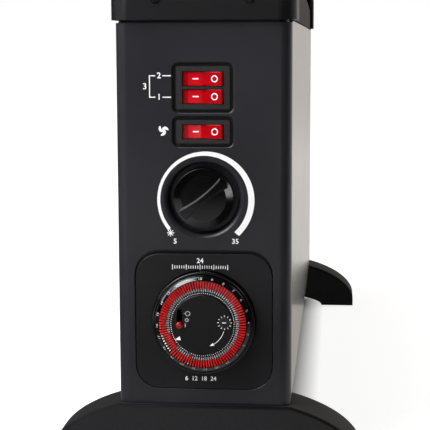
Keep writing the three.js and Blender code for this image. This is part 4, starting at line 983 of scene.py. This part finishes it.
def make_foot(node):
    low, high = limits(node)
    outline = foot_outline()
    edge = [(FOOT_EDGE * share_in, FOOT_EDGE * share_on) for share_in, share_on in quarter(5)]
    rings = [(low.x + on, deep) for deep, on in edge] + [(high.x - on, deep) for deep, on in edge[::-1]]
    foot = loft(node + "_moulding", [[(x, y, z) for y, z in inset(outline, deep)] for x, deep in rings])
    middle = (low.x + high.x) / 2
    cuts = []
    for side in (-1, 1):
        for near, far in POCKETS:
            hollow = sorted((side * near, side * far))
            cuts.append(box("pocket", (low.x + 6, high.x - 6), hollow, (-1, FOOT_TOP - 3)))
        for radius, top in SCREW_WELL:
            ring = circle(radius, (middle, side * FOOT_SCREW), 32)
            cuts.append(prism("screw_well", ring, (-1, FOOT_TOP + top)))
    carve(foot, *cuts)
    shade(foot, 30)
    dress(foot, "moulding", material=FOOT_FINISH, stands_for=[node])


make_foot("control_foot")
make_foot("far_foot")

# ---------------------------------------------------------------- end caps and their screws

MIDDLE_X = (limits("control_top_cap")[0].x + limits("far_top_cap")[1].x) / 2
CAP_LOW, CAP_HIGH = limits("control_top_cap")
CAP_SHOULDER = 35.0
CAP_ROUNDING = 13.0
GRIP = (70.0, 17.0)
GRIP_DEPTH = 16.0
GRIP_MIDDLE = (0.0, SEAM + 28.0)
GRIP_LIP = 1.6
HEAD_RADIUS = 3.1
HEAD_HEIGHT = 1.8
THREAD_RADIUS = 1.6


def far_copy(piece, name, slot, stands_for):
    """The same piece turned over to the far end."""
    other = piece.copy()
    other.data = piece.data.copy()
    other.name = name
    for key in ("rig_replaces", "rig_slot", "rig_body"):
        if key in other:
            del other[key]
    bpy.context.scene.collection.objects.link(other)
    flip = Matrix.Translation((2 * MIDDLE_X * MM, 0, 0)) @ Matrix.Diagonal((-1, 1, 1, 1))
    other.data.transform(flip)
    other.data.flip_normals()
    return dress(other, slot, material=piece.data.materials[0], stands_for=stands_for)


def cap_form(name, inset, base, reach):
    """Cap's outer form, inset from its face: an arch whose end and upright corners are rounded too."""
    side = CAP_HIGH.y - inset
    top = CAP_HIGH.z - inset
    end = CAP_LOW.x + inset
    shoulder = CAP_SHOULDER - inset
    arch = fillet([(-side, base), (side, base), (side, top), (-side, top)], [0, 0, shoulder, shoulder], 24)
    form = prism(name, arch, (end, reach), "x")
    corner = CORNER + 2.8 - inset
    plan = [(reach + 1, -side - 0.01), (end, -side - 0.01), (end, side + 0.01), (reach + 1, side + 0.01)]
    plan = prism("plan", fillet(plan, [0, corner, corner, 0], 12), (base - 1, top + 1))
    crown = [(end, base - 1), (reach + 1, base - 1), (reach + 1, top + 0.01), (end, top + 0.01)]
    crown = prism("crown", fillet(crown, [0, 0, 0, CAP_ROUNDING - inset], 14), (-side - 1, side + 1), "y")
    return carve(form, plan, crown, how="INTERSECT")


def make_caps():
    reach = CAP_HIGH.x
    cap = cap_form("control_cap_moulding", 0, SEAM, reach)
    hollow = cap_form("hollow", WALL, SEAM - 1, reach + 1)
    out = FACE - CAP_LOW.x
    well = rounded(GRIP[0] + 4, GRIP[1] + 4, 8, GRIP_MIDDLE)
    grip_box = slab("grip_box", well, out + 1, out - GRIP_DEPTH - 2)
    carve(hollow, grip_box)
    rings = [(GRIP_LIP, out + 1)]
    rings += [(GRIP_LIP * spread, out - GRIP_LIP * drop) for spread, drop in quarter()]
    rings += [(0, out - GRIP_DEPTH + 2), (-0.6, out - GRIP_DEPTH + 0.6), (-2, out - GRIP_DEPTH)]
    mouth = [out_from_face(rounded(GRIP[0] + 2 * grow, GRIP[1] + 2 * grow, 6 + grow, GRIP_MIDDLE, 8), depth)
             for grow, depth in rings]
    cuts = [hollow, loft("grip", mouth)]
    for side in (-1, 1):
        middle = (side * CAP_SCREW[0], CAP_SCREW[1])
        cuts.append(plug("seat", HEAD_RADIUS + 0.3, out + 1, out - 1, middle, 48))
        cuts.append(plug("hole", SCREW_HOLE, out, out - 4, middle, 24))
    carve(cap, *cuts)
    soften(cap, 0.6, segments=3)
    dress(cap, "moulding", material=CAP_FINISH, stands_for=["control_top_cap"])
    far_copy(cap, "far_cap_moulding", "moulding", ["far_top_cap"])


def make_cap_screws():
    for near, far in (("cap_screw_1", "cap_screw_3"), ("cap_screw_2", "cap_screw_4")):
        middle = middle_of(near)
        out = FACE - limits(near)[0].x
        under = out - HEAD_HEIGHT
        section = [(0, out), (HEAD_RADIUS, out), (HEAD_RADIUS, under), (THREAD_RADIUS, under),
                   (THREAD_RADIUS, out - 9.8), (0, out - 11.4)]
        screw = turned(near + "_turned", fillet(section, [0, 1.0, 0.1, 0.1, 0, 0], 5), middle, 40)
        cross = [rounded(w, h, 0.1, middle, 2) for w, h in ((0.9, 4.2), (4.2, 0.9))]
        carve(screw, *(slab("drive", arm, out + 1, out - 0.8) for arm in cross))
        shade(screw)
        dress(screw, "screw_black", stands_for=[near])
        far_copy(screw, far + "_turned", "screw_black", [far])


make_caps()
make_cap_screws()

# ---------------------------------------------------------------- printed marks

INK = 0.05
INK_ROOT = -0.05
FONT_SIZE = 1.38  # of the built-in font, for figures of height 1
FONT_WEIGHT = 0.022  # how far its outlines are moved out, as a share of their height


def numbers(name, rows, slot, body="casing", material=None):
    """Plain numbers as thin ink. Each row is (text, height, place, how far it turns clockwise, its tilt)."""
    bm = bmesh.new()
    for text, height, place, turn, tilt in rows:
        curve = bpy.data.curves.new("number", "FONT")
        curve.body = text
        curve.size = height * FONT_SIZE * MM
        curve.align_x = "CENTER"
        curve.align_y = "CENTER"
        curve.extrude = INK * MM
        curve.offset = height * FONT_WEIGHT * MM
        curve.resolution_u = 3
        drawn = bpy.data.objects.new("number", curve)
        mesh = drawn.to_mesh()
        face_on = Matrix(((0, 0, -1), (-1, 0, 0), (0, 1, 0))).to_4x4()
        spin, lean = (Matrix.Rotation(angle, 4, "X") for angle in (turn, tilt))
        mesh.transform(Matrix.Translation(Vector(place) * MM) @ spin @ face_on @ lean)
        bm.from_mesh(mesh)
        drawn.to_mesh_clear()
        bpy.data.objects.remove(drawn)
        bpy.data.curves.remove(curve)
    bmesh.ops.scale(bm, vec=(1 / MM,) * 3, verts=bm.verts)
    bmesh.ops.remove_doubles(bm, verts=bm.verts, dist=0.002)
    return dress(body_of_mesh(name, bm), slot, body, material or WHITE_INK)


def panel_numbers(name, *rows):
    """Upright numbers on the end panel. Each row is (text, height, y, z)."""
    out = FACE - INK / 2
    numbers(name, [(text, height, (out, y, z), 0, 0) for text, height, y, z in rows], "moulding")


def ink(name, outlines, slot="moulding", body="casing", out=0.0, material=None):
    """Closed (y, z) outlines laid as thin ink on a face that stands out mm."""
    bm = bmesh.new()
    for outline in outlines:
        low = [bm.verts.new(p) for p in out_from_face(outline, out + INK_ROOT)]
        high = [bm.verts.new(p) for p in out_from_face(outline, out + INK)]
        bm.faces.new(low)
        bm.faces.new(high)
        for k in range(len(low)):
            n = (k + 1) % len(low)
            bm.faces.new((low[k], low[n], high[n], high[k]))
    return dress(body_of_mesh(name, bm), slot, body, material or WHITE_INK)


def bar(start, end, width):
    """Straight printed line as an outline."""
    along = (Vector(end) - Vector(start)).normalized() * width / 2
    side = Vector((-along.y, along.x))
    a, b = Vector(start) - along, Vector(end) + along
    return [tuple(p) for p in (a - side, b - side, b + side, a + side)]


def arc(middle, radius, start, end, steps):
    """Points on a circle from one clockwise angle to another."""
    angles = [start + (end - start) * k / steps for k in range(steps + 1)]
    return [(middle[0] - radius * math.sin(a), middle[1] + radius * math.cos(a)) for a in angles]


def arc_band(middle, inner, outer, start, end, steps):
    """Band between two radii from one clockwise angle to another, as an outline."""
    return arc(middle, inner, start, end, steps) + arc(middle, outer, start, end, steps)[::-1]


def print_power_bracket():
    """Bracket that ties the two heat switches to the number of their sum."""
    left, right, top, bottom = 30.5, 27.4, 232.2, 219.9
    broad = 0.6
    half = broad / 2
    hook = [(left + broad, top + half), (right, top + half), (right, top - half), (left, top - half),
            (left, bottom + half), (right, bottom + half), (right, bottom - half),
            (left + broad, bottom - half)]
    leads = [bar((23.0, height), (18.6, height), broad) for height in (top, bottom)]
    ink("power_bracket_print", [hook] + leads)
    panel_numbers("power_numbers_print",
                  ("3", 3.6, 33.6, 226), ("2", 3.4, 25.3, top), ("1", 3.4, 25.3, bottom))


def print_fan_sign():
    """Three curved blades round a small hub."""
    y, z = 23.1, 200.8
    outline = []
    for k in range(96):
        a = TURN * k / 96
        reach = 0.7 + 2.5 * (0.5 + 0.5 * math.cos(3 * a)) ** 0.6
        bent = a + math.radians(75) + 0.52 * reach
        outline.append((y + reach * math.cos(bent), z + reach * math.sin(bent)))
    ink("fan_sign_print", [outline])


def print_heat_scale():
    """Crescent that widens clockwise round the knob, from a small star to a cut end."""
    span = (math.radians(-130), math.radians(137), 72)
    crescent = arc((-0.5, 160.5), 25.7, *span) + arc((-1.4, 160.3), 28.35, *span)[::-1]
    star = []
    for k in range(8):
        along = Vector((math.cos(TURN * k / 8), math.sin(TURN * k / 8)))
        side = Vector((-along.y, along.x)) * 0.24
        valley = Matrix.Rotation(TURN / 16, 2) @ along * (0.24 / math.sin(TURN / 16))
        star += [Vector((19.3, 141.0)) + step for step in (along * 2.1 - side, along * 2.1 + side, valley)]
    ink("heat_scale_print", [crescent])
    ink("frost_star_print", [star])
    panel_numbers("heat_numbers_print", ("5", 3.0, 16.6, 136.0), ("35", 3.0, -18.6, 136.2))


def print_plate_marks():
    """Plain numbers over and under the timer, and a rule of ticks."""
    panel_numbers("timer_title_print", ("24", 2.9, 2.1, 124.6), ("6  12  18  24", 2.6, 2.0, 54.2))
    ticks = []
    for k in range(25):
        across = 2.1 + 16.2 * (1 - k / 12)
        tall = 1.3 if k % 6 == 0 else 0.7
        ticks.append(bar((across, 120.9 - tall), (across, 120.9 + tall), 0.4))
    ink("timer_rule_print", ticks)


def print_dial_marks():
    """Hour numbers on the dial's sloping rim, a dot for each tappet, and a tick where one is pushed in."""
    hours = []
    radius = (DIAL_LAND + CHANNEL[1]) / 2
    proud = (DIAL_EDGE_PROUD + DIAL_CROWN) / 2
    slope = math.atan2(DIAL_CROWN - DIAL_EDGE_PROUD, DIAL_LAND - CHANNEL[1])
    for hour in range(1, HOURS + 1):
        angle = math.radians(87) + (4 - hour) * TURN / HOURS
        hours.append((str(hour), 1.75, on_timer(radius, angle, proud + 0.02), angle, -slope))
    numbers("hour_numbers_print", hours, "gloss_black", "timer_dial", GREY_INK)
    dots = radial_bars("dial_dots_print", 18.25, 18.75, 0.42, DIAL_CROWN - 0.05, DIAL_CROWN + 0.04)
    freed = [i for i in range(TAPPETS) if not pushed_in(i)]
    shown = radial_bars("set_ticks_print", 24.3, 25.3, 0.55, CHANNEL_FLOOR + 1, DIAL_CROWN - 0.3, skip=freed)
    for piece in (dots, shown):
        dress(piece, "gloss_black", "timer_dial", WHITE_INK)


def print_disc_marks():
    """Signs beside the slider, and the clock, pointer and arrow on the centre disc."""
    y, z = TIMER
    button = y + SLIDER
    ring = (0, TURN * 0.999, 20)
    signs = [arc_band((button - 4.9, z + 6.7), 1.05, 1.5, *ring),
             arc_band((button - 4.3, z + 2.9), 0.65, 1.1, *ring),
             bar((button - 3.4, z - 1.1), (button - 3.4, z + 0.5), 0.55),
             bar((button - 2.7, z + 6.7), (button - 3.1, z + 6.7), 0.4)]
    ink("slider_signs_print", signs, "bezel_black", out=DISC_PROUD, material=GREY_INK)
    pointer = [(y + 15.9, z - 8.9), (y + 13.3, z - 6.8), (y + 12.5, z - 9.2)]
    rays = []
    for k in range(12):
        along = Vector((math.sin(TURN * k / 12), math.cos(TURN * k / 12)))
        far = 4.2 if k % 3 == 0 else 4.0
        rays.append(bar(Vector(MINUTE) + 3.4 * along, Vector(MINUTE) + far * along, 0.33))
    sweep = arc_band(TIMER, 12.85, 13.15, math.radians(106), math.radians(150), 16)
    tip = math.radians(161)
    head = [on_timer(r, a, 0)[1:] for r, a in ((13.1, tip), (13.9, tip - 0.2), (12.1, tip - 0.2))]
    ink("disc_marks_print", [pointer, sweep, head] + rays, "bezel_black", out=DISC_PROUD)
    hand = rounded(2.3, 0.45, 0.2, (MINUTE[0] + 0.3, MINUTE[1]), 3)
    ink("minute_pointer_print", [hand], "bezel_black", "minute_hand", out=DISC_PROUD + 0.4)


print_power_bracket()
print_fan_sign()
print_heat_scale()
print_plate_marks()
print_dial_marks()
print_disc_marks()

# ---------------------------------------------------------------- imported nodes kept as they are

SLOT_OF = {row["node"]: row["material_slot"] for row in frame["record"]["subparts"]}
EDGES = {"painted_steel": 0.3, "moulding": 0.5, "bezel_black": 0.35}

for name, node in nodes.items():
    if node.hide_render:
        continue
    node.data.materials.clear()
    node.data.materials.append(GRILLE_FINISH if name == "top_grille" else FINISH[SLOT_OF[name]])
    soften(node, EDGES.get(SLOT_OF[name], 0.25))

# ---------------------------------------------------------------- stage and light

ROOM_DARK = 0.035
ROOM_PALE = 0.62
ROOM_FILL = 0.2
PAPER_END = -1.535
PAPER_REACH = 14.0
PAPER_LIFT = 0.8
WARM = "#FFF8F0"


def work_out(tree, made, ramps, steps, blend="LINEAR"):
    """Adds named values to made. Ramps are (name, value, low, high, at low, at high), and steps are
    (name, operation, first, second), each with the names of values made before."""
    for name, value, low, high, at_low, at_high in ramps:
        span = {"From Min": low, "From Max": high, "To Min": at_low, "To Max": at_high}
        ramp = add(tree, "ShaderNodeMapRange", {"Value": made[value], **span}, interpolation_type=blend)
        made[name] = ramp.outputs[0]
    for name, operation, first, second in steps:
        step = add(tree, "ShaderNodeMath", {0: made[first], 1: made[second]}, operation=operation)
        made[name] = step.outputs[0]


def start_values(tree, vector):
    """The parts of a vector and the kinds of ray, and a tint that is white to the camera and warm to all
    other rays. Here and below, left and right are as seen from the control end."""
    path = add(tree, "ShaderNodeLightPath").outputs
    axis = add(tree, "ShaderNodeSeparateXYZ", {0: vector}).outputs
    made = {"x": axis["X"], "y": axis["Y"], "camera": path["Is Camera Ray"],
            "mirror": path["Is Glossy Ray"], "glass": path["Is Transmission Ray"]}
    tint = add(tree, "ShaderNodeMix", {0: made["camera"], 6: colour(WARM), 7: colour("#FFFFFF")},
               data_type="RGBA")
    return made, tint.outputs[2]


def make_world():
    """White to the camera. Mirror rays find it pale beyond the heater on the right and dark elsewhere, and
    for all other rays it is an even fill light."""
    world = bpy.data.worlds.new("studio")
    bpy.context.scene.world = world
    tree = new_tree(world)
    made, tint = start_values(tree, add(tree, "ShaderNodeTexCoord").outputs["Generated"])
    work_out(tree, made, (
        ("room", "x", 0.1, 0.85, ROOM_DARK, ROOM_PALE),
        ("flag", "y", 0.04, 0.3, 1.0, 0.04),
    ), (
        ("flagged", "MULTIPLY", "room", "flag"),
        ("seen", "MAXIMUM", "flagged", "camera"),
        ("bounced", "MAXIMUM", "mirror", "glass"),
        ("shown", "MAXIMUM", "camera", "bounced"),
    ), "SMOOTHSTEP")
    level = add(tree, "ShaderNodeMix", {0: made["shown"], 2: ROOM_FILL, 3: made["seen"]}).outputs[0]
    back = add(tree, "ShaderNodeBackground", {"Color": tint, "Strength": level}).outputs[0]
    add(tree, "ShaderNodeOutputWorld", {"Surface": back})


def white_paper():
    """Matt white paper, lifted to white for the camera but for the shade under the heater. Mirror rays
    find it dark, but pale and faintly glowing on the right of the heater and beyond it, pale ahead of the
    control end's left half, and with a trace of light on the left."""
    material = bpy.data.materials.new("matt_white_paper")
    tree = new_tree(material)
    position = add(tree, "ShaderNodeNewGeometry").outputs["Position"]
    made, tint = start_values(tree, position)
    made["one"] = 1.0
    made["away"] = add(tree, "ShaderNodeVectorMath", {0: position}, operation="LENGTH").outputs["Value"]
    work_out(tree, made, (("lift", "away", 0.45, 1.3, PAPER_LIFT, 1),),
             (("out_x", "ABSOLUTE", "x", "one"), ("out_y", "ABSOLUTE", "y", "one")), "SMOOTHSTEP")
    work_out(tree, made, (
        ("behind", "x", -0.5, -0.25, 0, 1),
        ("left", "y", -0.1, 0.2, 0, 0.1),
        ("flagged", "y", 0, 0.25, 1, 0),
        ("ahead", "x", -0.74, -0.6, 1, 0),
        ("facing", "y", -0.02, 0.03, 0, 1),
        ("past_end", "out_x", 0.265, 0.29, 0, 1),
        ("past_side", "out_y", 0.045, 0.065, 0, 1),
        ("near", "x", -0.4, -0.1, 0, 0.28),
        ("far", "x", 0.5, 1.8, 0, 0.22),
    ), (
        ("backed", "MULTIPLY", "behind", "flagged"),
        ("nearer", "MAXIMUM", "backed", "left"),
        ("strip", "MULTIPLY", "ahead", "facing"),
        ("kept", "MAXIMUM", "nearer", "strip"),
        ("plain", "SUBTRACT", "one", "mirror"),
        ("shown", "MAXIMUM", "kept", "plain"),
        ("clear", "MAXIMUM", "past_end", "past_side"),
        ("open_lift", "MULTIPLY", "lift", "clear"),
        ("seen", "MULTIPLY", "open_lift", "camera"),
        ("mirrored", "ADD", "near", "far"),
        ("right", "MULTIPLY", "mirrored", "flagged"),
        ("bounced", "MAXIMUM", "mirror", "glass"),
        ("faint", "MULTIPLY", "right", "bounced"),
        ("strength", "ADD", "seen", "faint"),
    ))
    tone = add(tree, "ShaderNodeMix", {0: made["shown"], 6: colour("#202020"), 7: colour("#CCCCCC")},
               data_type="RGBA")
    sheet = add(tree, "ShaderNodeBsdfDiffuse", {"Color": tone.outputs[2]}).outputs[0]
    glow = add(tree, "ShaderNodeEmission", {"Color": tint, "Strength": made["strength"]}).outputs[0]
    both = add(tree, "ShaderNodeAddShader", {0: sheet, 1: glow}).outputs[0]
    add(tree, "ShaderNodeOutputMaterial", {"Surface": both})
    return material


def make_floor():
    """Sheet of paper that ends in front of the control end, and holds the heater's shadow."""
    mesh = bpy.data.meshes.new("floor")
    corners = [(x, y, 0) for x, y in ((PAPER_END, -PAPER_REACH), (PAPER_REACH, -PAPER_REACH),
                                      (PAPER_REACH, PAPER_REACH), (PAPER_END, PAPER_REACH))]
    mesh.from_pydata(corners, [], [(0, 1, 2, 3)])
    floor = bpy.data.objects.new("floor", mesh)
    bpy.context.scene.collection.objects.link(floor)
    mesh.materials.append(white_paper())


def soft_lamp(name, place, aim, size, power):
    data = bpy.data.lights.new(name, "AREA")
    data.shape = "RECTANGLE"
    data.size, data.size_y = size
    data.energy = power
    lamp = bpy.data.objects.new(name, data)
    bpy.context.scene.collection.objects.link(lamp)
    lamp.visible_camera = False
    lamp.location = place
    lamp.rotation_mode = "QUATERNION"
    lamp.rotation_quaternion = (Vector(aim) - Vector(place)).to_track_quat("-Z", "Y")


make_world()
make_floor()
soft_lamp("overhead_box", (-0.75, 0.75, 1.6), (-0.2, 0.0, 0.15), (0.75, 1.3), 18)
soft_lamp("front_box", (-1.9, 0.95, 0.95), (-0.26, 0.0, 0.15), (0.7, 0.9), 3)
soft_lamp("side_box", (1.2, -2.2, 1.5), (0.0, 0.0, 0.15), (1.4, 1.4), 18)
soft_lamp("left_box", (-0.66, 0.42, 0.62), (-0.26, 0.0, 0.17), (0.4, 0.45), 4)
soft_lamp("ring_box", (-0.42, 1.25, 1.0), (-0.27, 0.0, 0.09), (0.6, 1.15), 11)
soft_lamp("deck_card", (-1.77, -0.18, 0.09), (-0.26, -0.01, 0.165), (0.09, 0.16), 0.24)
soft_lamp("rocker_card", (-1.77, 0.166, 0.098), (-0.26, 0.0, 0.2), (0.055, 0.055), 0.017)

bpy.context.scene.view_settings.view_transform = "Standard"
